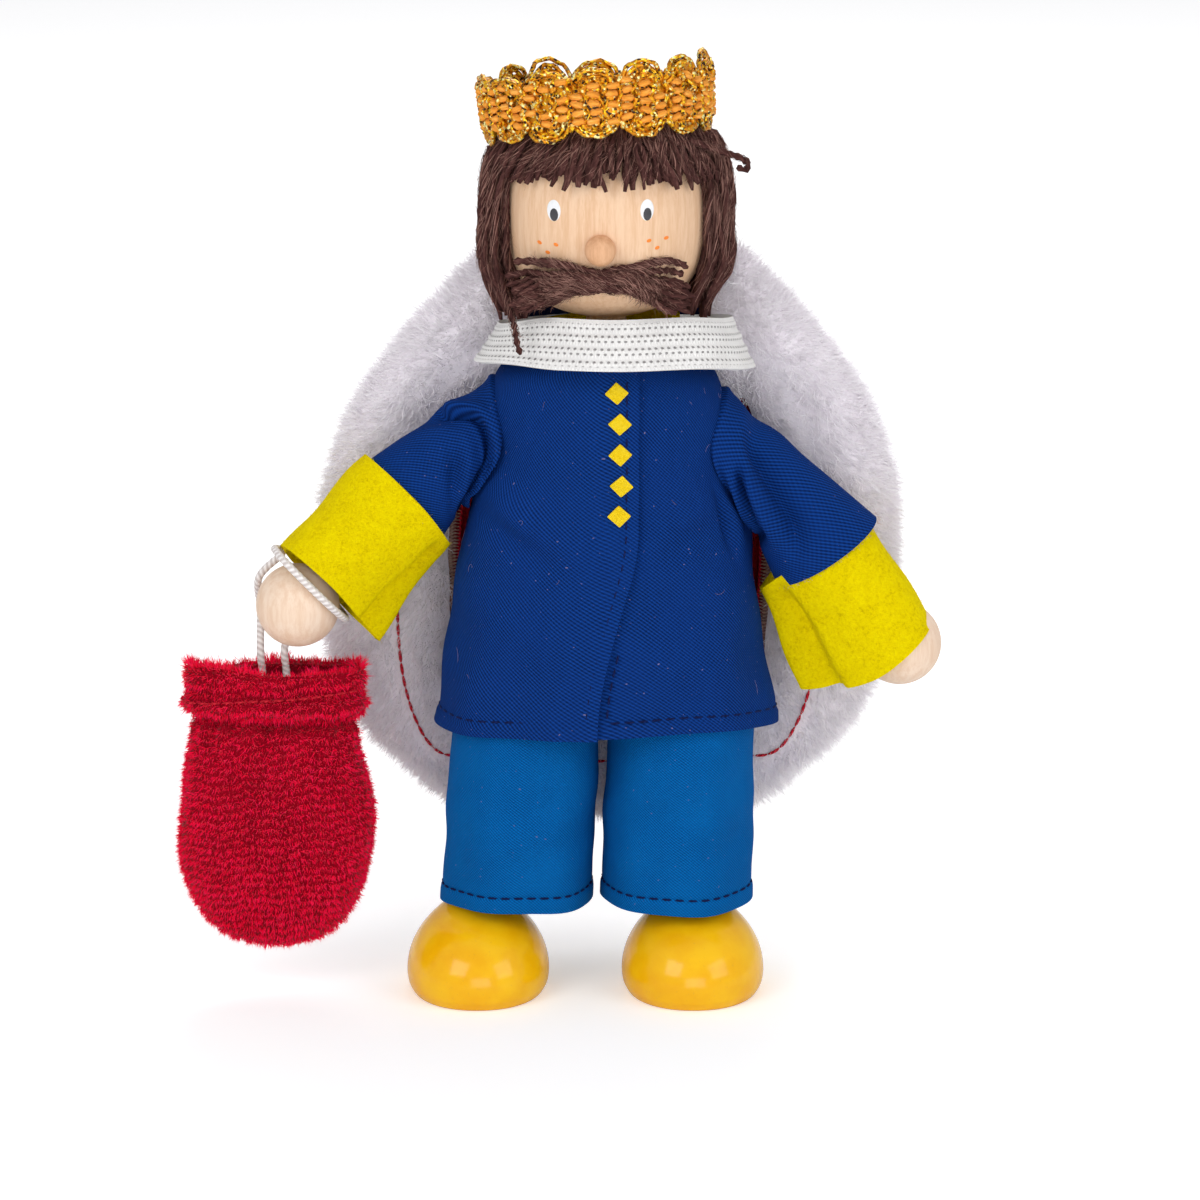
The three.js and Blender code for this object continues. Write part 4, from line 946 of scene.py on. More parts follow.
def jacketFolds(angle, z):
    low = ease((60 - z) / 22)
    wave = 0.3 * low * np.cos(angle * 8 + 0.4) + 0.22 * low * np.cos(angle * 5 + 1.1 + z * 0.03)
    x = np.cos(angle)
    front = np.sin(angle) < 0.2
    crossing = (x - 0.84) * 16 + (z - 61) * 0.12
    pleat = sum(
        amount * hump(crossing - shift, breadth) * hump(z - 61.5, length)
        for amount, shift, breadth, length in jacketPlan["pleats"]
    )
    soft = 0.2 * np.sin(z * 0.55 + angle * 3) + 0.16 * np.sin(z * 0.31 - angle * 5 + 2)
    soft = soft + slantFolds(jacketPlan["softSlants"], x, z) * front
    return wave + (slantFolds(jacketPlan["slants"], x, z) + pleat) * front + soft * ease((80 - z) / 8)


def jacketPoint(angle, z, lift):
    hemRoll = 0.22 * ease((36.9 - z) / 0.5) - 0.14 * hump(z - 37.0, 0.3)
    grow = jacketFolds(angle, z) + hemRoll + lift
    x, y = squareRound(jacketWidth(z) + grow, jacketDepth(z) + grow, jacketPlan["square"], angle)
    dip = 0.5 * ease((50 - z) / 14) * np.sin(angle * 2 + 0.6)
    return xyz(x, y, z - dip * ease((45 - z) / 10))


def jacketRows(v):
    return mix(jacketPlan["hem"], jacketPlan["neck"], 1 - (1 - v) ** 1.35)


def jacketWeave(angle, z):
    return (angle - math.pi / 2) * 15, z


def rightHalf(u, v):
    z = jacketRows(v)
    end = frontAngle(placket(z), z)
    angle = mix(math.pi / 2 - 0.01, end, u)
    edge = (end - angle) * jacketDepth(z)
    lift = jacketPlan["lapLift"] * ease((6 - edge) / 4) + 0.15 * hump(edge - 0.3, 0.5)
    return jacketPoint(angle, z, lift - 0.12 * hump(edge - 1.45, 0.35)), jacketWeave(angle, z)


def leftHalf(u, v):
    z = jacketRows(v)
    start = frontAngle(placket(z) - jacketPlan["lap"], z)
    angle = mix(start, tau + math.pi / 2 + 0.01, u)
    tuck = -0.25 * ease((5.5 - (angle - start) * jacketDepth(z)) / 3)
    return jacketPoint(angle, z, tuck), jacketWeave(angle, z)


def jacketSide(y, z):
    share = np.clip(np.abs(y) / jacketDepth(z), 0, 0.98)
    return jacketWidth(z) * (1 - share ** jacketPlan["square"]) ** (1 / jacketPlan["square"])


stitchPlan = {
    "length": 1.15, "gap": 0.6, "thread": 0.15, "hemUp": 2.0, "hemLift": 0.1,
    "edges": {"right": (-1.45, 80.5, 90, 0.5), "left": (1.0, 46, 30, 0.08)},  # inset, top, points and lift
}
hemZ = jacketPlan["hem"] + stitchPlan["hemUp"]
hemEnds = {
    "right": (1.6, frontAngle(placket(hemZ), hemZ) - 0.12),
    "left": (frontAngle(placket(hemZ) + 0.9, hemZ), tau + 1.54),
}
lintPlan = {  # stray fibres lying on the cloth
    "count": 26, "length": (0.3, 2.6), "thread": 0.024, "lift": 0.09, "curl": 2.2, "steps": 9, "seed": 31,
}
lintRng = np.random.default_rng(lintPlan["seed"])


def jacketStitches(line):
    return stitches("sewn", line, stitchPlan["length"], stitchPlan["gap"], stitchPlan["thread"], navyThread)


def lintRun(surface):
    heading = lintRng.uniform(0, tau) + np.linspace(0, lintRng.normal() * lintPlan["curl"], lintPlan["steps"])
    step = lintRng.uniform(*lintPlan["length"]) / lintPlan["steps"]
    u = lintRng.uniform(0.1, 0.9) + np.cumsum(np.cos(heading)) * step / 50
    v = lintRng.uniform(0.08, 0.9) + np.cumsum(np.sin(heading)) * step / 47
    run, _ = surface(u, v)
    return run + unit(run * np.array([1, 3, 0])) * lintPlan["lift"]


for side, surface in (("right", rightHalf), ("left", leftHalf)):
    jacket = clothSheet(
        "jacket_" + side, 150, 110, surface, jacketPlan["cloth"], (0, 0, 60),
        navyTwill, "hung", "torso_block",
    )
    hem = jacketPoint(np.linspace(*hemEnds[side], 160), np.full(160, hemZ), stitchPlan["hemLift"])
    inset, top, count, lift = stitchPlan["edges"][side]
    zs = np.linspace(hemZ, top, count)
    edge = jacketPoint(frontAngle(placket(zs) + inset, zs), zs, lift)
    joinTo(jacket, jacketStitches(hem), jacketStitches(edge))
    lintRuns = [lintRun(surface) for _ in range(lintPlan["count"])]
    joinTo(jacket, coat(strands("lint", lintRuns, lintPlan["thread"], 4, 1, 0.0, 0, (0.6, 0.4)), lintThread))
    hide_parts("jacket_front_" + side, "jacket_skirt_" + side, "jacket_back")
    aside = bodySides[side] * jacketPlan["bendAside"]
    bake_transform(jacket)

diamondPlan = {
    "size": 1.42, "wide": 1.04, "tall": 0.98, "thick": 0.28, "proud": 0.04, "bevel": 0.08,
    "top": 78.8, "pitch": 3.9, "inset": 2.3,
    "strays": [  # aside, above and lean of each tile
        (-0.3, 0.0, 0.05), (0.1, 0.06, -0.03), (0.14, 0.14, 0.02), (0.3, 0.12, -0.06), (0.0, 0.18, 0.04),
    ],
}
diamondFelt = feltFinish("diamond yellow", tone(255, 222, 50), tone(252, 214, 30), tone(232, 186, 10))
for k, (aside, above, lean) in enumerate(diamondPlan["strays"]):
    z0 = diamondPlan["top"] - diamondPlan["pitch"] * k + above
    x0 = float(placket(z0)) - diamondPlan["inset"] + aside
    bpy.ops.object.select_all(action="DESELECT")
    bpy.ops.mesh.primitive_cylinder_add(vertices=4, radius=1, depth=1, rotation=(math.pi / 2, 0, 0))
    tile = rename(bpy.context.object, f"diamond_tile_{k + 1}")
    bpy.ops.object.transform_apply(location=True, rotation=True, scale=True)
    rim = tile.modifiers.new("rim", "BEVEL")
    rim.width = diamondPlan["bevel"]
    rim.segments = 2
    applyAll(tile)
    q = readPoints(tile)
    x = x0 + diamondPlan["size"] * (diamondPlan["wide"] * q[:, 0] * math.cos(lean) - q[:, 2] * math.sin(lean))
    z = z0 + diamondPlan["size"] * (q[:, 0] * math.sin(lean) + q[:, 2] * math.cos(lean)) * diamondPlan["tall"]
    skin = jacketPoint(frontAngle(x, z), z, jacketPlan["lapLift"])
    y = skin[:, 1] - diamondPlan["thick"] * (0.5 - q[:, 1]) + diamondPlan["proud"]
    place(tile, xyz(x, y, z), diamondFelt, "torso", "felt", f"diamond_{k + 1}")
print("jacket ready")

# Sleeves and cuffs

sleevePlan = {
    "halfHeight": 6.9, "halfDepth": 5.9, "drop": 0.8, "cloth": 0.7, "foldPitch": 14.4,
    "cuffTop": 7.2, "cuffTopDepth": 5.2, "cuffMouth": 6.8, "cuffMouthDepth": 6.2, "felt": 0.9,
    "bends": {  # way, near and far
        "right": ((-0.95, 0, -0.3), 4.2, 10.0), "left": ((0.93, 0, -0.37), 3.3, 8.9),
    },
    "cuffBendStart": 0.1, "cuffBendEnd": 8.6, "fray": 130, "fuzz": 2600, "fibre": 0.022, "seed": 11,
}


def rightSleeveFolds(t, turn, before):
    up = np.sin(turn)
    line = 0.23 + 0.3 * np.maximum(up, 0) ** 4 + 0.32 * ease((-up - 0.25) / 0.65)
    ridge = 0.95 * hump(t - line + 0.085, 0.06)
    fold = before * (ridge - 1.9 * hump(t - line, 0.034) - 0.7 * hump(t - line - 0.08, 0.07))
    valley = 0.64 - 0.2 * up
    fold = fold - before * 1.2 * hump(t - valley, 0.075) * hump(up - 0.02, 0.5)
    fold = fold + before * 0.45 * hump(t - valley + 0.17, 0.07) * hump(up + 0.1, 0.5)
    fold = fold - 0.9 * before * hump(t - 0.5, 0.12) * hump(up + 0.78, 0.14)
    return fold + (1 - before) * 0.45 * np.sin(t * 13 + turn * 1.3) * hump(t - 0.4, 0.3)


def leftSleeveFolds(t, turn, before):
    up = np.sin(turn)
    off = up - 0.58 + 1.05 * (t - 0.45)
    hollow = np.where(off < 0, hump(off, 0.17), hump(off, 0.4))
    fold = -2.7 * before * hollow * ease((t - 0.24) / 0.24) * ease((1.25 - t) / 0.35)
    fold = fold + 1.2 * before * hump(off + 0.5, 0.2) * ease((t - 0.3) / 0.2) * ease((1.05 - t) / 0.35)
    pocket = hump(up + 0.2 + 2.6 * (t - 0.46), 0.17) * ease((t - 0.3) / 0.12) * ease((0.86 - t) / 0.2)
    fold = fold - 1.9 * before * pocket
    fold = fold + 0.8 * before * hump(up + 0.3 + 2.6 * (t - 0.28), 0.24) * hump(t - 0.4, 0.16)
    fold = fold - 1.2 * before * hump(t - 0.76, 0.07) * hump(up + 0.72, 0.24)
    return fold + (1 - before) * 0.4 * np.sin(t * 12 - turn * 1.2 + 2.2) * hump(t - 0.35, 0.3)


def sleeveSurface(arm, folds):
    rise, front = armFrame(arm["upper"])
    end = armSizes["upper"] - arm["lap"] + 0.6

    def surface(u, v):
        turn = u * tau
        up, back = np.sin(turn), np.cos(turn)
        t = v * end / sleevePlan["foldPitch"]
        z = arm["shoulder"][2] - sleevePlan["drop"] + sleevePlan["halfHeight"] * up
        y = sleevePlan["halfDepth"] * back
        start = xyz(arm["sign"] * (jacketSide(y, z) - 0.5), y, z)
        stop = arm["shoulder"] + arm["upper"] * (end + arm["slant"] * up - arm["bow"] * back)[:, None]
        stop = stop + up[:, None] * rise * (sleevePlan["cuffTop"] + arm["over"])
        stop = stop - back[:, None] * front * (sleevePlan["cuffTopDepth"] + arm["over"])
        seam = -0.45 * hump(t - 0.05, 0.022) + 0.25 * hump(t - 0.09, 0.03)
        fold = folds(t, turn, ease(0.5 - 1.6 * back)) * ease((1 - v) * 5)
        around = up[:, None] * rise - back[:, None] * front
        points = mix(start, stop, v[:, None]) + around * (fold + seam)[:, None]
        return points, (turn * 6.0 + 40 * arm["sign"], v * 16)

    return surface


def cuffSurface(arm):
    upRise, upFront = armFrame(arm["upper"])
    foreRise, foreFront = armFrame(arm["fore"])
    lap = arm["lap"]
    length = lap + armSizes["fore"] - arm["cuffEnd"]

    def surface(u, v):
        turn = u * tau
        up, back = np.sin(turn), np.cos(turn)
        lower = np.maximum(0, -up)
        bow = -arm["bow"] * back * (1 - 0.7 * lower**2)
        near = -0.4 - max(arm["over"], 0) * 3 * (1 - lower**2)
        near = near + arm["slant"] * up * (1 - 0.6 * lower**2) + bow
        reach = mix(near, length + arm["point"] * lower**4 + bow, v)
        s = reach - lap
        past = ease((s + 2.5) / 5)[:, None]
        onUpper = arm["shoulder"] + arm["upper"] * (armSizes["upper"] + s)[:, None]
        onFore = arm["elbow"] + arm["fore"] * s[:, None]
        rise = unit(mix(upRise, foreRise, past))
        front = unit(mix(upFront, foreFront, past))
        centre = np.where((s < 0)[:, None], onUpper, onFore) - rise * (arm["sink"] * v)[:, None]
        fin = arm["fin"] * lower**2.5 * mix(arm["finStart"], 1, v)
        half = mix(sleevePlan["cuffTop"] - arm["over"], sleevePlan["cuffMouth"], v) + fin
        depth = mix(sleevePlan["cuffTopDepth"] - arm["over"], sleevePlan["cuffMouthDepth"], v)
        depth = depth * (1 - 0.6 * ease((lower - 0.66) / 0.16) * ease(v * 4))
        dent = -0.7 * hump(up + 0.78, 0.06) * (back < 0) * ease(v * 3)
        dent = dent + 0.35 * np.sin(v * 5 + turn * 2 + arm["sign"]) * np.sin(v * math.pi)
        dent = dent + 0.2 * np.sin(turn * 3 + 1) * v
        points = centre + rise * ((half + dent) * up)[:, None] - front * ((depth + dent) * back)[:, None]
        return points, (turn * 6.5, reach)

    return surface


feltRng = np.random.default_rng(sleevePlan["seed"])
for side, folds in (("right", rightSleeveFolds), ("left", leftSleeveFolds)):
    arm = armPlan[side]
    shape = sleeveSurface(arm, folds)
    middle = arm["shoulder"] + arm["upper"] * 8
    sleeve = clothSheet(
        "sleeve_cloth_" + side, 120, 90, shape, sleevePlan["cloth"], middle,
        navyTwill, "hung", "upper_arm_" + side,
    )
    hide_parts("sleeve_" + side)
    count = sleevePlan["fray"]
    hem, _ = shape(feltRng.random(count), np.ones(count))
    outward = unit(hem - (arm["shoulder"] + arm["upper"] * (armSizes["upper"] - arm["lap"])))
    ways = arm["upper"] * 0.6 + outward * 0.4 + stray(feltRng, hem, 0.6)
    lengths = feltRng.uniform(0.2, 0.6, count)
    sag = stray(feltRng, hem, 0.5)
    fray = hairs("sleeve_fray", hem + outward * 0.25, ways, lengths, sleevePlan["fibre"], sag, feltRng)
    joinTo(sleeve, coat(fray, beigeThread))
    way, near, far = sleevePlan["bends"][side]
    spot(*(arm["shoulder"] + unit(way) * near))
    spot(*(arm["shoulder"] + unit(way) * far))
    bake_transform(sleeve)
    middle = arm["elbow"] + arm["fore"] * 6
    cuff = clothSheet(
        "cuff_felt_" + side, 110, 60, cuffSurface(arm), sleevePlan["felt"], middle,
        yellowFelt, "folded", "forearm_" + side,
    )
    roots, facing = scatter(cuff, sleevePlan["fuzz"], feltRng)
    ways = facing * 0.35 + stray(feltRng, roots, 0.75)
    lengths = feltRng.uniform(0.25, 0.6, len(roots))
    sag = stray(feltRng, roots, 0.3)
    fuzz = hairs("cuff_fuzz", roots - facing * 0.05, ways, lengths, sleevePlan["fibre"], sag, feltRng)
    joinTo(cuff, coat(fuzz, yellowFelt))
    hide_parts("cuff_" + side)
    spot(*(arm["elbow"] - arm["upper"] * (arm["lap"] - sleevePlan["cuffBendStart"])))
    spot(*(arm["elbow"] + arm["fore"] * (sleevePlan["cuffBendEnd"] - arm["lap"])))
    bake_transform(cuff)
print("sleeves and cuffs ready")

# Trousers

trouserPlan = {
    "top": 42.3, "hem": 11.5, "split": 34.0, "underSeat": 45.0, "cloth": 0.7, "square": 2.15,
    "topWidth": 9.1, "topDepth": 8.5, "hemWidth": 9.4, "hemDepth": 8.9,
    "topSpacing": 19.2, "hemSpacing": 20.2, "hemShift": -1.2,
    "seam": 13.5, "stitch": (1.1, 0.55, 0.14), "stitchLift": 0.12,  # length, gap and thread
    "bendAside": 8, "hipBend": (47, 37), "kneeBend": (31, 21),
    "seatFoot": (18.7, 8.5, 42.6), "seatTop": (12.5, 7.7, 53.0),  # half width, half depth and height
    "seatSquare": 2.4,
}


def legPoint(sign, u, z):
    t = (trouserPlan["top"] - z) / (trouserPlan["top"] - trouserPlan["hem"])
    spacing = mix(trouserPlan["topSpacing"], trouserPlan["hemSpacing"], t)
    middle = sign * spacing / 2 + trouserPlan["hemShift"] * t
    angle = u * tau
    crease = 0.28 * ease(t * 1.5) * np.cos(angle * 6 + sign)
    crease = crease + 0.3 * np.sin(z * 0.33 + angle * 2 + sign) * hump(z - 25, 8)
    crease = crease + 0.22 * np.sin(z * 0.75 - angle * 3) * hump(z - 22, 6)
    hemRoll = 0.2 * ease((13.4 - z) / 0.4) - 0.14 * hump(z - trouserPlan["seam"], 0.25)
    wide = mix(trouserPlan["topWidth"], trouserPlan["hemWidth"], t) + crease * 0.5 + hemRoll
    deep = mix(trouserPlan["topDepth"], trouserPlan["hemDepth"], t) + crease + hemRoll
    x, y = squareRound(wide, deep, trouserPlan["square"], angle)
    return xyz(x + middle, y, z + 0.25 * np.sin(angle * 2 + sign * 0.7) * ease((16 - z) / 4))


def legPart(sign, low, high):
    def surface(u, v):
        z = mix(low, high, v)
        return legPoint(sign, u, z), (u * 52 + 60 * sign, z)

    return surface


def seatSurface(u, v):
    foot, top = trouserPlan["seatFoot"], trouserPlan["seatTop"]
    wide, deep = (mix(foot[k], top[k], ease(v)) for k in range(2))
    x, y = squareRound(wide, deep, trouserPlan["seatSquare"], u * tau)
    z = mix(foot[2], top[2], v)
    return xyz(x, y, z), (u * 80, z)


for side, sign in bodySides.items():
    middle = (sign * trouserPlan["topSpacing"] / 2, 0, 25)
    upperShape = legPart(sign, trouserPlan["split"], trouserPlan["underSeat"])
    lowerShape = legPart(sign, trouserPlan["hem"], trouserPlan["split"])
    finish = (trouserPlan["cloth"], middle, blueTwill, "hung", "thigh_" + side)
    upper = clothSheet("trouser_upper_" + side, 110, 22, upperShape, *finish)
    lower = clothSheet("trouser_lower_" + side, 110, 56, lowerShape, *finish)
    seam = legPoint(sign, np.linspace(0, 1, 140), np.full(140, trouserPlan["seam"]))
    outward = unit(seam - np.array([sign * 10.0 + trouserPlan["hemShift"], 0, trouserPlan["seam"]]))
    seam = seam + outward * trouserPlan["stitchLift"]
    joinTo(lower, stitches("sewn", seam, *trouserPlan["stitch"], navyThread))
    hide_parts("trouser_thigh_" + side)
    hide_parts("trouser_shin_" + side)
    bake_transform(upper)
    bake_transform(lower)

seat = clothSheet(
    "trouser_waist", 96, 16, seatSurface, trouserPlan["cloth"], (0, 0, 48),
    blueTwill, "stretched", "torso_block",
)
settle(seat, "torso", "blue_twill", "trouser_seat")
print("trousers ready")

# Neck: a felt band in the jacket's neck, and the cape's knitted elastic lying round it

neckPlan = {
    "bandRadius": 9.0, "bandFoot": 82.6, "bandHeight": 3.8, "felt": 0.9,
    "topWidth": 14.4, "topDepth": 10.9, "hemWidth": 17.4, "hemDepth": 13.0,
    "height": 6.2, "base": 80.2, "aside": 1.0, "forward": 1.0, "tilt": -10.5, "wall": 0.9,
}


def bandSurface(u, v):
    turn = u * tau
    high = neckPlan["bandHeight"] + 0.2 * np.sin(turn * 3) - 1.5 * ease(0.5 - 1.2 * np.cos(turn - 0.2))
    z = neckPlan["bandFoot"] + high * v
    r = neckPlan["bandRadius"] + 0.15 * np.sin(turn * 4 + 1)
    return xyz(r * np.cos(turn), r * np.sin(turn), z), (turn * 9, z)


feltBand = clothGrid("felt_neckband", 80, 10, bandSurface, neckPlan["felt"], (0, 0, 85))
settle(coat(feltBand, yellowFelt), "torso", "felt", "felt_collar")


def elasticSurface(u, v):
    turn = u * tau
    rib = 0.1 * np.cos(v * 8 * math.pi)
    edge = 0.16 * hump(v - 0.02, 0.05) + 0.16 * hump(v - 0.98, 0.05)
    pull = 0.18 * np.sin(turn * 7 + 1) * (0.4 + 0.6 * v)
    wide = mix(neckPlan["hemWidth"], neckPlan["topWidth"], v) - rib + edge + pull
    deep = mix(neckPlan["hemDepth"], neckPlan["topDepth"], v) - rib + edge + pull
    x, y = wide * np.cos(turn), deep * np.sin(turn)
    narrow = 1 - 0.26 * ease((-x - 7) / 9)
    z = (0.5 + (v - 0.5) * narrow) * neckPlan["height"] + 0.12 * np.sin(turn * 5)
    y, z = swing(y, z, math.radians(neckPlan["tilt"]))
    return xyz(x + neckPlan["aside"], y - neckPlan["forward"], z + neckPlan["base"]), (u * 92, v * 6.4)


def elasticFinish():
    paint = Paint("white knitted elastic", Specular_IOR_Level=0.1)
    u, v = paint.weave()
    row = v * (8 / 6.4) + ((v + 0.8) * (tau / 1.6)).sin() * 0.1
    stagger = (row.maths("FLOOR") * 0.5).frac()
    across = ((u * (1 / 0.76) + stagger).frac() - 0.5) * 0.76
    upward = (row.frac() - 0.5) * 0.8
    spread = (across * across + upward * upward * 1.2).maths("SQRT")
    # the holes are real but not cut through: each is painted grey as painted shade seen through it, with a
    # dent from the bump
    hole = 1 - spread.step(0.08, 0.22)
    border = (v - 3.2).abs().step(2.55, 2.75)
    hole = hole * (1 - border)
    stitch = ((u * (tau / 0.38)).sin() * 0.5 + 0.5) * ((v * (tau / 0.8)).sin() * 0.5 + 0.5)
    cloud = paint.noise(paint.places(), 0.35, 2).step(0.3, 0.7)
    colour = paint.blendColour(stitch * 0.5 + cloud * 0.3, tone(226, 224, 222), tone(250, 249, 247))
    colour = paint.blendColour(hole * 0.75, colour, tone(120, 116, 116))
    return paint.finish(colour, 0.8, stitch * 0.5 - hole * 1.4, 0.00022, 0.8)


elastic = clothGrid("elastic_band", 220, 32, elasticSurface, neckPlan["wall"], (1, -1, 84))
settle(coat(elastic, elasticFinish()), "torso", "elastic", "neck_elastic")
print("neck ready")

# Cape: velvet back, plush facing and rolled edge

capePlan = {
    "thick": 1.0, "back": 15.0, "neckBack": 12.3, "neckHigh": 84.0, "cornerHigh": 89.5, "hem": 19.4,
    "hemCorner": 22.4, "flare": 4.2, "topWidth": 16.5, "width": 33.2, "hemWidth": 22.0, "curl": 4.4,
    "folds": 7, "foldDepth": 1.1, "face": 12.0, "turn": 5.0, "loft": 2.7, "roll": 2.6, "tuck": 0.97,
}
topWide, wide, hemWide = (capePlan[key] for key in ("topWidth", "width", "hemWidth"))
capeSpan = curveThrough([
    (0, topWide), (0.12, mix(topWide, wide, 0.42)), (0.26, mix(topWide, wide, 0.78)),
    (0.42, mix(topWide, wide, 0.98)), (0.58, wide), (0.76, mix(hemWide, wide, 0.9)),
    (0.9, mix(hemWide, wide, 0.55)), (1, hemWide),
])


def capePoint(u, v):
    highest = capePlan["neckHigh"] + (capePlan["cornerHigh"] - capePlan["neckHigh"]) * u * u
    lowest = capePlan["hem"] + (capePlan["hemCorner"] - capePlan["hem"]) * u**4
    z = mix(highest, lowest, v)
    x = capeSpan(v) * u + neckPlan["aside"] * (1 - v)
    back = mix(capePlan["neckBack"], capePlan["back"], ease(v / 0.45))
    curl = mix(2.6, capePlan["curl"], ease(v / 0.4)) * (1 - 0.5 * ease((v - 0.6) / 0.4))
    calm = 1 - ease((np.abs(u) - 0.55) / 0.25)
    fold = capePlan["foldDepth"] * calm * ease((v - 0.1) / 0.7)
    fold = fold * np.cos(u * capePlan["folds"] * math.pi * 0.5)
    return xyz(x, back - curl * u * u + fold + capePlan["flare"] * v * v, z)


def capeAt(u, v, lift):
    step = 0.01
    along = capePoint(u + step, v) - capePoint(u - step, v)
    down = capePoint(u, v + step) - capePoint(u, v - step)
    normal = unit(np.cross(down, along))
    normal = np.where(normal[..., 1:2] > 0, -normal, normal)
    return capePoint(u, v) + normal * np.asarray(lift)[..., None]


def capeSurface(u, v):
    a = mix(-capePlan["tuck"], capePlan["tuck"], u)
    b = v * capePlan["tuck"]
    small = (0.45 * np.sin(a * 17 + b * 3) + 0.3 * np.sin(a * 29 - b * 4 + 1)) * ease(b * 4)
    small = small - 0.9 * np.cos(a * capePlan["folds"] * math.pi / 2) * ease((b - 0.1) / 0.5)
    small = np.minimum(small * (1 - ease((np.abs(a) - 0.6) / 0.22)), 0.35)
    points = capeAt(a, b, -capePlan["thick"] / 2 + small)
    return points, (a * 33, b * 66)


def velvetFinish(name, deep, body, glow, innerShade=None):
    paint = Paint(name, Sheen_Weight=0.25, Sheen_Roughness=0.35, Specular_IOR_Level=0.05)
    nap = paint.noise(paint.places((1, 1, 0.35)), 3.2, 4, 0.65)
    brushed = paint.noise(paint.places((1, 1, 0.3)), 0.3, 3).step(0.25, 0.78)
    colour = paint.blendColour((nap * 0.75 + brushed * 0.3).step(0.2, 0.85), deep, body)
    colour = paint.blendColour(brushed * 0.3, colour, glow)
    if innerShade:  # painted shade: the inner face near the neck top is darkened to near-black navy, standing in for the shadow behind the neck
        normal = paint.node("ShaderNodeNewGeometry", out="Normal")
        facing = paint.node("ShaderNodeSeparateXYZ", None, {0: normal}, out=1)
        height = paint.node("ShaderNodeSeparateXYZ", None, {0: paint.places()}, out=2)
        inner = (facing * -1).step(0.2, 0.5) * height.step(*innerShade["heights"])
        colour = paint.blendColour(inner, colour, innerShade["tone"])
    return paint.finish(colour, 0.85 - brushed * 0.1, nap, 0.0003, 0.8)


# painted shade for the velvet's inner face behind the neck: its colour, and the heights over which it fades
# in
neckInnerShade = {"tone": tone(14, 26, 66), "heights": (80.5, 81.5)}
redVelvet = velvetFinish("red velvet", tone(120, 2, 18), tone(184, 12, 34), tone(206, 34, 54), neckInnerShade)
redVelvet.node_tree.nodes["Principled BSDF"].inputs["Sheen Tint"].default_value = tone(255, 120, 130)
capePanel = clothSheet(
    "cape_velvet", 180, 120, capeSurface, capePlan["thick"], (0, -400, 50),
    redVelvet, "hung", "neck_elastic",
)
settle(capePanel, "torso", "velvet", "cape_panel")

furSlot = capePlan["thick"] / 2 + 0.55
loft, roll, face, turnIn = capePlan["loft"], capePlan["roll"], capePlan["face"], capePlan["turn"]
furSection = [  # how far in from the cape's edge, and how far off its middle
    (face, furSlot), (face, furSlot + loft * 0.55), (face * 0.75, furSlot + loft * 0.85),
    (face * 0.5, furSlot + loft), (face * 0.25, furSlot + loft * 1.04), (0, furSlot + loft),
    (-roll * 0.45, furSlot + loft * 0.6),
    (-roll * 0.8, loft * 0.6), (-roll, 0), (-roll * 0.8, -loft * 0.5), (-roll * 0.4, -furSlot - loft * 0.4),
    (0, -furSlot - loft * 0.6), (turnIn * 0.7, -furSlot - loft * 0.55), (turnIn, -furSlot - loft * 0.3),
    (turnIn, -furSlot), (turnIn * 0.45, -furSlot), (-0.6, -furSlot), (-0.6, furSlot), (face * 0.45, furSlot),
]
stations = [(0.72 + 0.04 * k, 0) for k in range(7)]
stations += [(1, k / 44) for k in range(44)]
stations += [(1 - 2 * k / 90, 1) for k in range(91)]
stations += [(-1, k / 44) for k in range(43, -1, -1)]
stations += [(-0.96 + 0.04 * k, 0) for k in range(7)]
stations = np.array(stations, float)
fromEnd = np.minimum(np.arange(len(stations)), np.arange(len(stations))[::-1])


def furRow(inward, lift):
    narrow = 1
    if lift < 0 < inward:  # the turned edge runs out at the neck
        narrow = mix(0.25, 1, ease(fromEnd / 20))
    share = 1 - inward * narrow / capePlan["width"]
    lump = 0.22 * np.sin(np.arange(len(stations)) * 0.9 + inward * 1.3) * (np.abs(lift) > furSlot)
    return capeAt(stations[:, 0] * share, 0.5 + (stations[:, 1] - 0.5) * share, lift + lump * np.sign(lift))


def furStrip(name, section, closed):
    rows = np.stack([furRow(a, b) for a, b in section], axis=1)
    count, across = rows.shape[:2]
    quads = []
    for j in range(count - 1):
        for i in range(across if closed else across - 1):
            n = (i + 1) % across
            quads.append((j * across + i, j * across + n, (j + 1) * across + n, (j + 1) * across + i))
    return buildMesh(name, rows.reshape(-1, 3), quads, (), np.zeros((count * across, 2)) + 0.2)


whitePlush = hairFinish("white plush", tone(246, 240, 246), tone(255, 253, 255), 0.0)
furBase = furStrip("cape_plush", furSection, True)
editAll(
    furBase,
    (bpy.ops.mesh.fill_holes, {"sides": 0}),
    (bpy.ops.mesh.normals_make_consistent, {"inside": False}),
)
smooth(coat(furBase, whitePlush), 60)

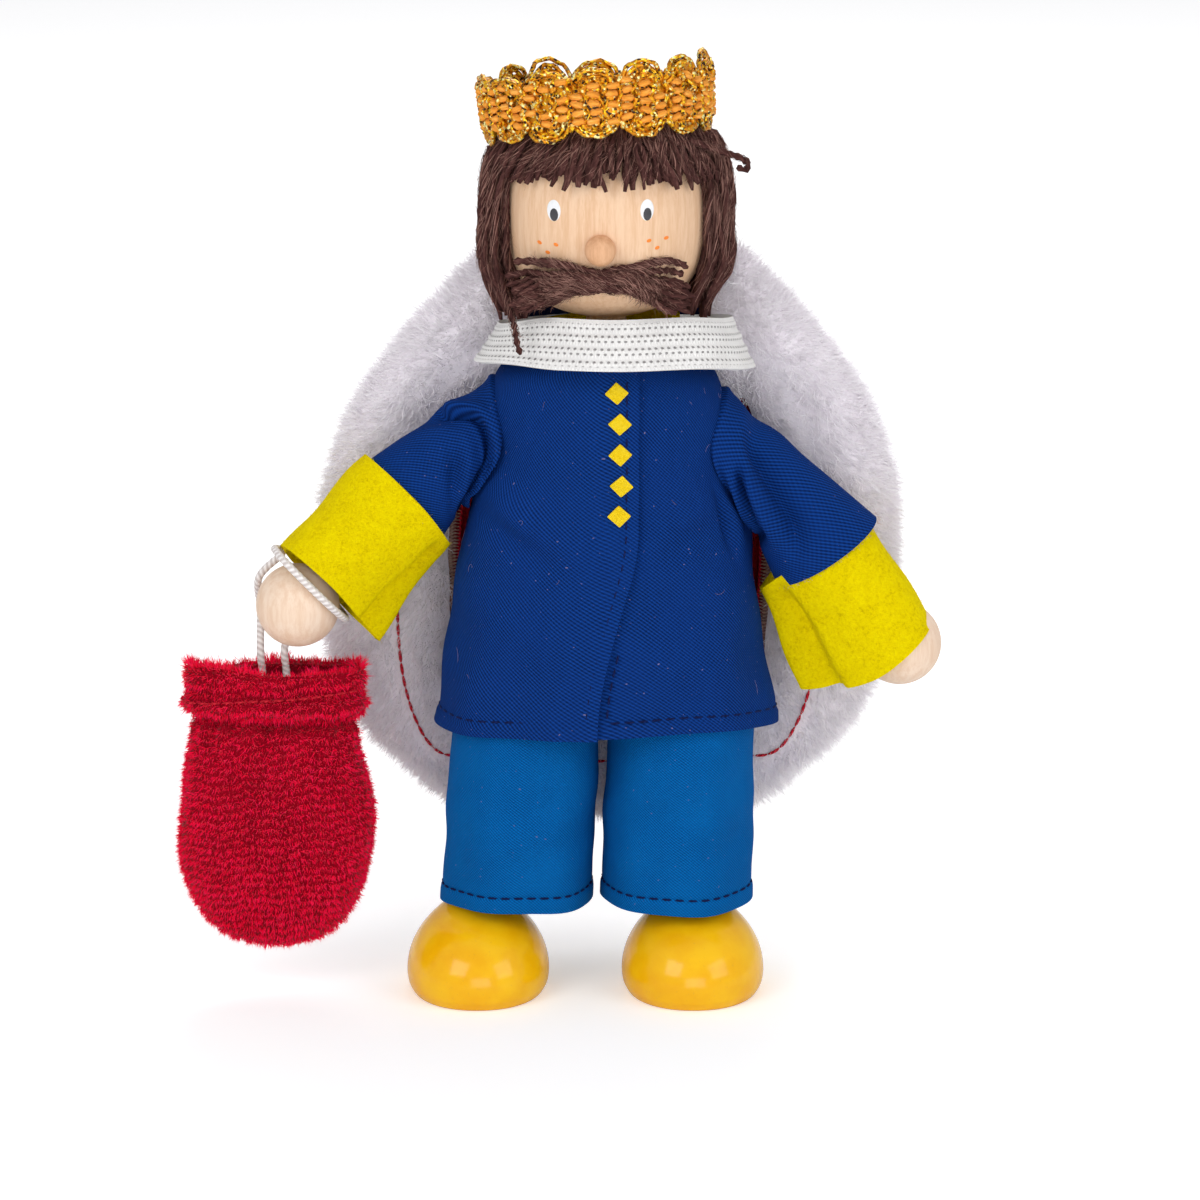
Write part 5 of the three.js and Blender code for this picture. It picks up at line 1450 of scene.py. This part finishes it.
furPlan = {
    "hairs": 62000, "length": (1.0, 2.1), "width": 0.05, "seed": 4, "stitchIn": 5.6, "backStitchIn": 6.0,
    "stitch": (1.7, 0.12, 0.2), "backStitch": (1.7, 0.3, 0.16),  # length, gap and thread
}
rng = np.random.default_rng(furPlan["seed"])
skin = furStrip("plush_skin", furSection[1:14], False)
middle = np.array([neckPlan["aside"] * 0.5, 15, 55])
seamLine = np.pad(furRow(furPlan["stitchIn"], furSlot + loft * 0.98), ((7, 7), (0, 0)), mode="edge")
blur = np.hanning(17)[1:-1] / 8
seamLine = xyz(*(np.convolve(seamLine[:, k], blur, mode="valid") for k in range(3)))
turnedEdge = furRow(turnIn, -furSlot - loft * 0.3)
for half in ("facing", "edge"):
    roots, facing = scatter(skin, furPlan["hairs"] * 2, rng)
    if facing[:, 1].mean() > 0:
        facing = -facing
    forward = facing[:, 1] < -0.6
    kept = np.flatnonzero(forward if half == "facing" else ~forward)[: furPlan["hairs"]]
    roots, facing = roots[kept], facing[kept]
    comb = unit((roots - middle) * np.array([1, 0.2, 0.6])) + np.array([0, 0, -0.5])
    x, z = roots[:, 0], roots[:, 2]
    swirl = xyz(np.sin(z * 0.5 + x * 0.2), np.zeros(len(roots)), np.sin(x * 0.6 + 1))
    gap, inner = np.full(len(roots), 9.0), np.full(len(roots), 9.0)
    for knot, hem in zip(seamLine, turnedEdge):
        gap = np.minimum(gap, np.linalg.norm(roots - knot, axis=1))
        inner = np.minimum(inner, np.linalg.norm(roots - hem, axis=1))
    comb = comb * (1 - 1.7 * hump(inner, 1.5))[:, None]
    lengths = rng.uniform(*furPlan["length"], len(roots)) * (0.4 + 0.6 * ease(gap / 1.6))
    ways = facing * 0.5 + comb * 0.5 + swirl * 0.25 + stray(rng, roots, 0.38)
    sag = comb * 0.2 + stray(rng, roots, 0.25)
    pelt = fibres("cape_pile_" + half, roots - facing * 0.2, ways, lengths, furPlan["width"], sag, rng)
    settle(coat(pelt, whitePlush), "torso", "plush")
bpy.data.objects.remove(skin)
seamLine = seamLine[34:-34] + np.array([0, -0.45, 0])
backLine = furRow(furPlan["backStitchIn"], -capePlan["thick"] / 2 - 0.15)[12:-12]
settle(stitches("cape_stitching", seamLine, *furPlan["stitch"], redThread), "torso", "plush")
settle(stitches("cape_back_stitching", backLine, *furPlan["backStitch"], redThread), "torso", "velvet")
settle(furBase, "torso", "plush", "cape_fur")

# Overlocked inner edge of the plush facing
overPlan = {"top": 70, "thread": 0.17, "cord": 0.28, "lift": (0, -0.2, 0)}
overRuns = []
edgeLow = furRow(face - 0.2, furSlot + 0.4)
edgeHigh = furRow(face + 1.9, furSlot - 0.1)
for k in range(3, len(stations) - 4):
    if edgeLow[k][2] > overPlan["top"]:
        continue
    for t in (0, 0.5):
        a, b = (mix(edgeLow[k], edgeLow[k + 1], t + on) for on in (0, 0.25))
        c = mix(edgeHigh[k], edgeHigh[k + 1], t + 0.12)
        up, down = (mix(end, c, 0.5) + np.array(overPlan["lift"]) for end in (a, b))
        overRuns.append(np.array([a, up, c, down, b]))
overlock = coat(strands("cape_overlock", overRuns, overPlan["thread"], 5, 1, 0.0, 0, (0.8, 0.8)), beigeThread)
edgeLine = throughPoints(edgeHigh[2:-2:2], 260)
cordEdge = strands("overlock_cord", [edgeLine], overPlan["cord"], 6, 2, 0.2, 2.5, (0.8, 0.8))
joinTo(overlock, coat(cordEdge, redThread))
settle(overlock, "torso", "velvet")
print("cape ready")

# Pouch

pouchPlan = {
    "height": 36.0, "wall": 1.0, "tilt": 0.6, "top": (-41.33, -2.904, 42.139), "square": 2.3,
    "pile": 60000, "length": (0.55, 1.1), "width": 0.055, "rowPitch": 1.15, "slope": 0.1, "seed": 8,
    "seamAt": -3.2, "seamDip": 1.0, "seamOut": (1.02, 1.26, 1), "stitch": (1.3, 0.3, 0.15),
}
bagFoot = -pouchPlan["height"]
bagWidth = curveThrough([
    (bagFoot, 3.5), (bagFoot + 1.2, 6.6), (bagFoot + 3.4, 9.2), (bagFoot + 8, 11.5), (bagFoot + 14, 12.5),
    (bagFoot + 21, 12.0), (-6.6, 10.5), (-5.4, 11.2), (0, 11.4),
])
bagDepth = curveThrough([
    (bagFoot, 1.6), (bagFoot + 1.2, 2.5), (bagFoot + 3.4, 3.6), (bagFoot + 9, 5.6), (bagFoot + 17, 5.6),
    (-6.6, 3.6), (-5.4, 3.8), (0, 3.5),
])


bagLean = math.radians(pouchPlan["tilt"])


def bagToDoll(points):
    x, z = swing(points[..., 0], points[..., 2], -bagLean)
    return xyz(x, points[..., 1], z) + np.array(pouchPlan["top"])


def bagPoint(turn, z, share):
    sag = 0.45 * np.sin(turn * 3 + z * 0.25) + 0.3 * np.sin(turn * 5 - z * 0.4 + 1)
    pleat = 0.45 * np.cos(turn * 14 + np.sin(turn * 3)) * hump(z + 7.2, 1.8)
    rimFold = 0.75 * hump(z + 4.6, 0.9) - 0.55 * hump(z + 6.8, 0.8) + 0.35 * hump(z + 1.4, 1.0)
    grow = (0.5 * sag * hump(z + 20, 11) + pleat + rimFold - 0.5) * share
    x, y = squareRound(bagWidth(z) * share + grow, bagDepth(z) * share + grow, pouchPlan["square"], turn)
    drop = (0.35 * np.sin(turn * 2 + 0.6) + 0.2 * np.sin(turn * 5)) * ease((z + 4) / 4)
    return xyz(x, y, z + drop)


def bagSurface(u, v):
    z = np.interp(v, [0, 0.06, 1], [bagFoot, bagFoot, 0])
    share = np.interp(v, [0, 0.06, 1], [0, 1, 1])
    return bagToDoll(bagPoint(u * tau, z, share)), (u * 66, v * 38)


def pileFinish(name, dark, body, bright):
    paint = Paint(name, Sheen_Weight=0.15, Sheen_Roughness=0.4, Specular_IOR_Level=0.06)
    shade, high = paint.weave()
    patch = paint.noise(paint.places(), 0.28, 2).step(0.3, 0.7)
    # the first channel holds each hair's tone; on the pouch it carries painted shade in the row valleys and
    # hollows
    colour = paint.ramp(shade * 0.62 + high * 0.26 + patch * 0.12, (0.12, dark), (0.5, body), (0.9, bright))
    return paint.finish(colour, 0.85)


redPile = pileFinish("red pile", tone(164, 0, 28), tone(248, 0, 56), tone(255, 34, 94))
pileCloth = velvetFinish("red pile cloth", tone(116, 0, 20), tone(150, 0, 28), tone(150, 2, 30))
bag = clothSheet(
    "pouch_cloth", 150, 110, bagSurface, pouchPlan["wall"], (-41.2, -3, 24),
    pileCloth, "gathered", "pouch_cord",
)
rng = np.random.default_rng(pouchPlan["seed"])
roots, facing = scatter(bag, pouchPlan["pile"] * 3, rng)
local = roots - np.array(pouchPlan["top"])
bx, bz = swing(local[:, 0], local[:, 2], bagLean)
outer = (facing[:, 0] * bx + facing[:, 1] * local[:, 1] * 2) > -0.2
outer |= (bz > -0.5) | (bz < bagFoot + 1.5)
wander = 0.25 * np.sin(bx * 0.9 + 1) + 0.15 * np.sin(bx * 2.3 + bz * 0.4)
sloped = bz - pouchPlan["slope"] * bx
phase = ((sloped + wander) / pouchPlan["rowPitch"]) % 1.0
rows = rng.random(len(roots)) < 0.42 + 0.58 * ease(0.5 + 0.9 * np.cos(phase * tau))
kept = np.flatnonzero(outer & (rows | (bz > -0.9)))[: pouchPlan["pile"]]
roots, facing, bx, bz, sloped, phase = (rows[kept] for rows in (roots, facing, bx, bz, sloped, phase))
tuft = 0.5 + 0.5 * np.cos(phase * tau)
zigzag = 0.5 + 0.5 * np.cos(bx / 0.8 * tau + np.floor(sloped / pouchPlan["rowPitch"]) * math.pi)
rimmed = ease((bz + 0.9) / 0.9)
# painted shade: the pile's tone is darker in the valleys between rows and tufts, in the gathered groove under
# the rim and along the seam line, with a random spread on top
hollow = hump(bz + 6.9, 0.8) * 0.65 + hump(bz + 3.2, 0.35) * 0.3
shade = np.clip(0.2 + 0.46 * tuft + 0.2 * zigzag + rng.normal(size=len(roots)) * 0.16 - hollow, 0, 1)
lengths = rng.uniform(*pouchPlan["length"], len(roots)) * (0.5 + 0.5 * tuft) * (1 + 0.55 * rimmed)
lift = np.array([0, 0, 1.0]) * (1.25 * rimmed - 0.55)[:, None]
ways = facing * 0.9 + stray(rng, roots, 0.32) + lift * 0.8
sag = stray(rng, roots, 0.2)
pileHairs = fibres("pouch_pile", roots - facing * 0.08, ways, lengths, pouchPlan["width"], sag, rng, shade)
settle(coat(pileHairs, redPile), "pouch", "chenille")
turns = np.linspace(0, tau, 200)
casing = bagPoint(turns, pouchPlan["seamAt"] + pouchPlan["seamDip"] * np.cos(turns), 1.0)
casing = bagToDoll(casing * np.array(pouchPlan["seamOut"]))
joinTo(bag, stitches("pouch_seam", casing, *pouchPlan["stitch"], redThread))
settle(bag, "pouch", "chenille", "pouch_bag")
print("pouch ready")

# Crown: a ring of gimp braid with looped edges

crownPlan = {
    "radius": 13.3, "band": 5.6, "scallop": 1.5, "count": 14, "flare": 0.5,
    "rise": 9.1, "tilt": -9.0, "roll": 3.6, "aside": -0.9,
    "loops": [2.75, 2.1, 1.45, 0.8], "loopFoot": 2.25, "cord": 0.36,
    "bars": 5, "barCord": 0.46, "barHalf": 0.62, "barsLost": 0.12, "columns": 3, "wall": 0.55, "seed": 5,
}
crownHigh = crownPlan["band"] + 2 * crownPlan["scallop"]
crownBase = headPlan["centre"] + crownPlan["rise"]
crownLean, crownRoll = math.radians(crownPlan["tilt"]), math.radians(crownPlan["roll"])


def crownPlace(along, z, proud):  # along the ring in mm, up from its foot, out from its middle
    r = crownPlan["radius"] + crownPlan["flare"] * z / crownHigh + proud
    turn = along / crownPlan["radius"]
    y, z = swing(r * np.sin(turn), z, crownLean)
    x, z = swing(r * np.cos(turn), z, crownRoll)
    return xyz(x + crownPlan["aside"], y, z + crownBase)


def tinselFinish(name, bright, body, dark):
    paint = Paint(name, Specular_IOR_Level=0.6)
    flakes = paint.node("ShaderNodeTexVoronoi", None, {"Vector": paint.places(), "Scale": 3.4}, out="Color")
    parts = paint.node("ShaderNodeSeparateColor", None, {0: flakes})
    other = Sock(paint, parts.socket.node.outputs[1])
    colour = paint.ramp(parts, (0.1, dark), (0.26, body), (0.66, body), (0.86, bright))
    # painted glint: a few flakes get a pale yellow colour, standing in for light catching the foil
    glintFlakes = other.step(0.86, 0.9)
    colour = paint.blendColour(glintFlakes, colour, tone(255, 246, 170))
    height, metal = parts * 0.8 + other * 0.4, 0.55 + parts * 0.3
    return paint.finish(colour, 0.22 + other * 0.3, height, 0.00025, 0.9, metallic=metal)


goldTinsel = tinselFinish("gold tinsel", tone(255, 206, 40), tone(226, 146, 18), tone(58, 30, 4))
peachFloss = yarnFinish("peach floss", tone(222, 128, 34), tone(250, 166, 66), tone(255, 202, 112))
pitch = tau * crownPlan["radius"] / crownPlan["count"]
rng = np.random.default_rng(crownPlan["seed"])
loopRuns, barRuns, postRuns = [], [], []
loopFeet = (crownPlan["loopFoot"], crownHigh - crownPlan["loopFoot"])
for k in range(crownPlan["count"]):
    middle = (k + 0.5) * pitch + rng.normal() * 0.12
    tips = [rng.normal() * 0.2 - 0.1, rng.normal() * 0.45 + 0.1]
    bends = [rng.normal() * 0.2 + 0.15, rng.normal() * 0.5]
    for half in crownPlan["loops"]:
        t = np.linspace(0.0, math.pi, 17)
        rise, share = np.sin(t), half / crownPlan["loops"][0]
        for tip, bend, foot, way in zip(tips, bends, loopFeet, (-1, 1)):
            deep = crownPlan["scallop"] * 0.35 + half * 0.62 + tip * share
            ripple = 0.1 * np.sin(t * 9 + half * 5 + k) + rng.normal() * 0.06
            proud = 0.15 + 0.2 * np.sin(t * 3 + half * 2 + k) + bend * rise * share + rng.normal() * 0.08
            loopRuns.append(crownPlace(middle + half * np.cos(t), foot + way * deep * rise + ripple, proud))
    for column in range(crownPlan["columns"]):
        at = middle + (column - 1) * pitch / crownPlan["columns"] + rng.normal() * 0.12
        drift = (column + k) % 2 * 0.5 - 0.25 + rng.normal() * 0.1
        for bar in range(crownPlan["bars"]):
            z = 1.75 + (bar + 0.5) * (crownHigh - 3.3) / crownPlan["bars"] + rng.normal() * 0.07 + drift
            if rng.random() < crownPlan["barsLost"]:
                continue
            t = np.linspace(-crownPlan["barHalf"], crownPlan["barHalf"], 9)
            across = at + t + rng.normal() * 0.08
            barRuns.append(crownPlace(across, z + t * rng.normal() * 0.22, 0.74 - 1.1 * t**2))
        for post in (-0.5, 0.5):
            z = np.linspace(1.2, crownHigh - 1.2, 18)
            sway = 0.28 * np.sin(z * 3.2 + column * 2 + k + post * 3)
            across = at + post * pitch / crownPlan["columns"] * 0.86 + sway
            postRuns.append(crownPlace(across, z, 0.5 + 0.32 * np.cos(z * 4.1 + post * 5 + k)))
braid = strands("crown_braid", loopRuns + postRuns, crownPlan["cord"], 8, 3, 0.24, 4.5, (0.9, 0.9))
bars = strands("crown_bars", barRuns, crownPlan["barCord"], 9, 3, 0.12, 2.4, (0.5, 0.5))


def crownBack(u, v):
    wave = np.abs(np.sin(u * tau * crownPlan["count"] / 2))
    low = crownPlan["scallop"] * (1.15 - wave) + 0.35
    z = mix(low, crownHigh - low, v)
    along = u * tau * crownPlan["radius"]
    return crownPlace(along, z, 0.12 + 0.08 * np.sin(along * 4) * np.sin(z * 5)), (along, z)


band = clothGrid("crown_ring", 28 * crownPlan["count"], 14, crownBack, crownPlan["wall"], (0, 0, 112))
joinTo(coat(band, goldTinsel), coat(braid, goldTinsel), coat(bars, peachFloss))
settle(band, "head", "braid", "crown")
print("crown ready")

# Hair and moustache: lengths of wool yarn

hairPlan = {
    "yarn": 0.47, "fringe": 105.4, "bottom": 86.2, "lockBottom": 87.6, "seed": 21, "crownReach": 12.1,
    "face": math.radians(67), "locks": math.radians(114),  # half angles from the middle of the face
    "layers": [(0.5, 100), (1.1, 104), (1.8, 100)],  # lift and number of yarns
    "outerLift": 2.5, "outerYarns": 18, "steps": 22,
    "strays": {
        "left": [
            (10.0, -7.2, 109.8), (12.6, -6.4, 108.7), (14.8, -6.2, 107.9), (16.4, -6.4, 107.4),
            (17.3, -6.6, 106.7), (16.9, -6.8, 106.0), (15.9, -6.7, 106.4),
        ],
        "right": [
            (-13.2, -4.5, 94), (-12.2, -8.5, 90.5), (-11.2, -11.3, 87.6), (-10.8, -12.6, 85.6),
            (-10.4, -13.1, 84.4),
        ],
    },
}
rng = np.random.default_rng(hairPlan["seed"])


def pressUnderCrown(points):  # the ring of braid holds the yarn in
    flat, up = swing(points[:, 1], points[:, 2] - crownBase, -crownLean)
    off = points[:, 0] - crownPlan["aside"]
    inRing = up - off * math.sin(crownRoll)
    limit = mix(40.0, hairPlan["crownReach"], ease((inRing + 1.6) / 1.4))
    share = np.minimum(1, limit / np.maximum(np.sqrt(off**2 + flat**2), 1e-6))
    y, z = swing(flat * share, up, crownLean)
    return xyz(off * share + crownPlan["aside"], y, z + crownBase)


def hairPath(turn, lift, start, bottom, sway, wave):
    rises = np.linspace(math.radians(start), 0.0, hairPlan["steps"])
    drift = sway * np.linspace(0, 1, hairPlan["steps"]) ** 2
    over = headPoint(turn + drift, rises, lift)
    over[:, 2] = np.maximum(over[:, 2], headPlan["centre"])
    last = over[-1]
    if bottom < last[2] - 1:
        z = np.linspace(last[2], bottom, max(2, int((last[2] - bottom) / 0.8)) + 1)[1:]
        t = (last[2] - z) / 12
        inward = 1 + 0.02 * ease(t * 2) - 0.19 * ease((t - 0.42) / 0.65)
        path = np.concatenate([over, xyz(last[0] * inward, last[1] * (1 - 0.05 * t), z)])
    else:
        path = over[over[:, 2] > bottom]
    run = np.linspace(0, 1, len(path))
    phase = wave * 40
    wobble = xyz(
        np.sin(run * 9 + phase) + 0.5 * np.sin(run * 19 + phase * 2.3),
        np.sin(run * 8 + phase * 1.7) + 0.5 * np.sin(run * 17 + phase),
        0.5 * np.sin(run * 11 + phase * 0.6),
    )
    return pressUnderCrown(path + wobble * (0.3 * ease(run * 2))[:, None])


front = 1.5 * math.pi
fringeRuns, lockRuns, backRuns = [], {"right": [], "left": []}, []
for layer, (lift, count) in enumerate(hairPlan["layers"]):
    for k in range(count):
        turn = (k + 0.5 * (layer % 2) + rng.uniform(-0.45, 0.45)) / count * tau
        off = (turn - front + math.pi) % tau - math.pi
        start = 90 - rng.uniform(3, 15)
        high = lift + rng.uniform(-0.2, 0.25)
        if abs(off) < hairPlan["face"]:
            bottom = hairPlan["fringe"] + rng.uniform(-1.1, 1.3) - 1.4 * (abs(off) / hairPlan["face"]) ** 2
            sweep = 0.42 * np.sign(off) * ease((abs(off) - 0.2) / 0.6) + rng.uniform(-0.1, 0.1)
            fringeRuns.append(hairPath(turn - sweep * 0.45, high * 0.9, start, bottom, sweep, rng.random()))
        elif abs(off) < hairPlan["locks"]:
            side = "right" if math.cos(turn) < 0 else "left"
            bottom = hairPlan["lockBottom"] + rng.uniform(-1.6, 2.6)
            lockRuns[side].append(hairPath(turn, high, start, bottom, rng.uniform(-0.1, 0.1), rng.random()))
        else:
            bottom = hairPlan["bottom"] + rng.uniform(-0.7, 1.2)
            sway = rng.uniform(-0.08, 0.08)
            backRuns.append(hairPath(turn, high * 0.95, start, bottom, sway, rng.random()))
for side, sign in bodySides.items():  # a fuller outer layer on each side lock
    for k in range(hairPlan["outerYarns"]):
        turn = (math.pi if sign < 0 else 0) + rng.uniform(-0.36, 0.36)
        bottom = hairPlan["lockBottom"] + rng.uniform(-2.0, 1.6)
        high = hairPlan["outerLift"] + rng.uniform(-0.3, 0.4)
        start = 90 - rng.uniform(20, 34)
        lockRuns[side].append(hairPath(turn, high, start, bottom, rng.uniform(-0.08, 0.08), rng.random()))
for side, route in hairPlan["strays"].items():
    lockRuns[side].append(throughPoints(route, 26))


def yarnPiece(name, runs, perYarn, size, rng, *stands):
    made = strands(name, runs, size * rng.uniform(0.8, 1.2, len(runs)), 8, 2, 0.3, 2.9, (0.75, 0.65))
    loose = wool(name + "_wool", runs, size, perYarn, rng, (0, 0, headPlan["centre"]))
    joinTo(coat(made, brownYarn), coat(loose, woolFuzz))
    return settle(made, "head", "yarn", *stands)


for name, runs, perYarn, solid in (
    ("fringe_yarn", fringeRuns, 36, "hair_fringe"),
    ("lock_yarn_right", lockRuns["right"], 40, "hair_lock_right"),
    ("lock_yarn_left", lockRuns["left"], 40, "hair_lock_left"),
    ("back_yarn", backRuns, 30, "hair_back"),
):
    yarnPiece(name, runs, perYarn, hairPlan["yarn"], rng, solid)

capPlan = {"faceHalf": 70, "faceLow": 34, "low": -30, "lift": 0.35}  # degrees, and mm off the head
cap = ball("hair_cap", 64, 40)  # dark wool under the strands, open over the face
capTurn, capRise = ballAngles(readPoints(cap))
overFace = np.cos(capTurn - front) > math.cos(math.radians(capPlan["faceHalf"]))
capRise = np.maximum(capRise, np.radians(np.where(overFace, capPlan["faceLow"], capPlan["low"])))
place(cap, pressUnderCrown(headPoint(capTurn, capRise, capPlan["lift"])), brownYarn, "head", "yarn")
setWeave(cap, np.stack([capTurn * 3, capRise * 20], axis=1))

moustachePlan = {
    "strands": 13, "fewer": 3, "lifts": (0.55, 1.25, 1.9), "yarn": 0.46, "wool": 40, "seed": 3, "steps": 22,
    "looseLift": 0.7, "looseStand": 9.0,
    "loose": [  # x and z from the nose
        [(0, -2.8), (-3.1, -2.1), (-6.4, -1.8), (-10.6, -1.9)],
        [(0.3, -3.0), (-3.3, -2.3), (-6.6, -2.05), (-10.4, -2.15)],
        [(-2, -3.0), (-6.4, -3.3), (-8.7, -3.6), (-11.5, -3.8)],
        [(0, -2.8), (3.0, -2.1), (6.7, -1.8), (10.6, -2.2)],
        [(0.6, -3.0), (4.7, -2.3), (7.5, -2.2), (10.6, -2.85)],
        [(2, -3.2), (5, -2.9), (7.4, -3.0), (10.2, -3.8)],
    ],
}
rng = np.random.default_rng(moustachePlan["seed"])
lipRuns = []


def lipPath(points, lift, stand):
    line = throughPoints([(x, 0, noseZ + z) for x, z in points], moustachePlan["steps"])
    run = np.linspace(0, 1, moustachePlan["steps"])
    depth = faceDepth(np.clip(line[:, 0], -12.2, 12.2), line[:, 2])
    line[:, 1] = np.minimum(depth, -stand * ease((run - 0.35) / 0.5)) - lift
    line[:, 0] += noseX
    line += 0.14 * np.sin(run[:, None] * rng.uniform(6, 14) + rng.uniform(0, 6, 3)) * ease(run * 3)[:, None]
    return line


for sign in bodySides.values():
    for layer, lift in enumerate(moustachePlan["lifts"]):
        count = moustachePlan["strands"] - moustachePlan["fewer"] * layer
        for k in range(count):
            t = (k + rng.uniform(0.05, 0.95)) / count
            t = 0.1 * layer + t * (1 - 0.2 * layer)
            start, near = -3.0 - 2.0 * t, -2.6 - 3.2 * t
            mid = -3.6 - 4.0 * t + rng.uniform(-0.25, 0.25)
            endX = rng.uniform(9.6, 11.8) - 0.9 * t
            end = -5.0 - 3.6 * t + rng.uniform(-0.45, 0.45)
            route = [(-0.8, start), (1.4, mix(start, near, 0.6)), (3.2, near), (6.3, mid), (endX, end)]
            route = [(sign * x, z) for x, z in route]
            lipRuns.append(lipPath(route, lift + rng.uniform(-0.15, 0.2), rng.uniform(8.6, 9.8)))
for route in moustachePlan["loose"]:
    lipRuns.append(lipPath(route, moustachePlan["looseLift"], moustachePlan["looseStand"]))
yarnPiece("moustache_yarn", lipRuns, moustachePlan["wool"], moustachePlan["yarn"], rng, "moustache")
print("hair ready")
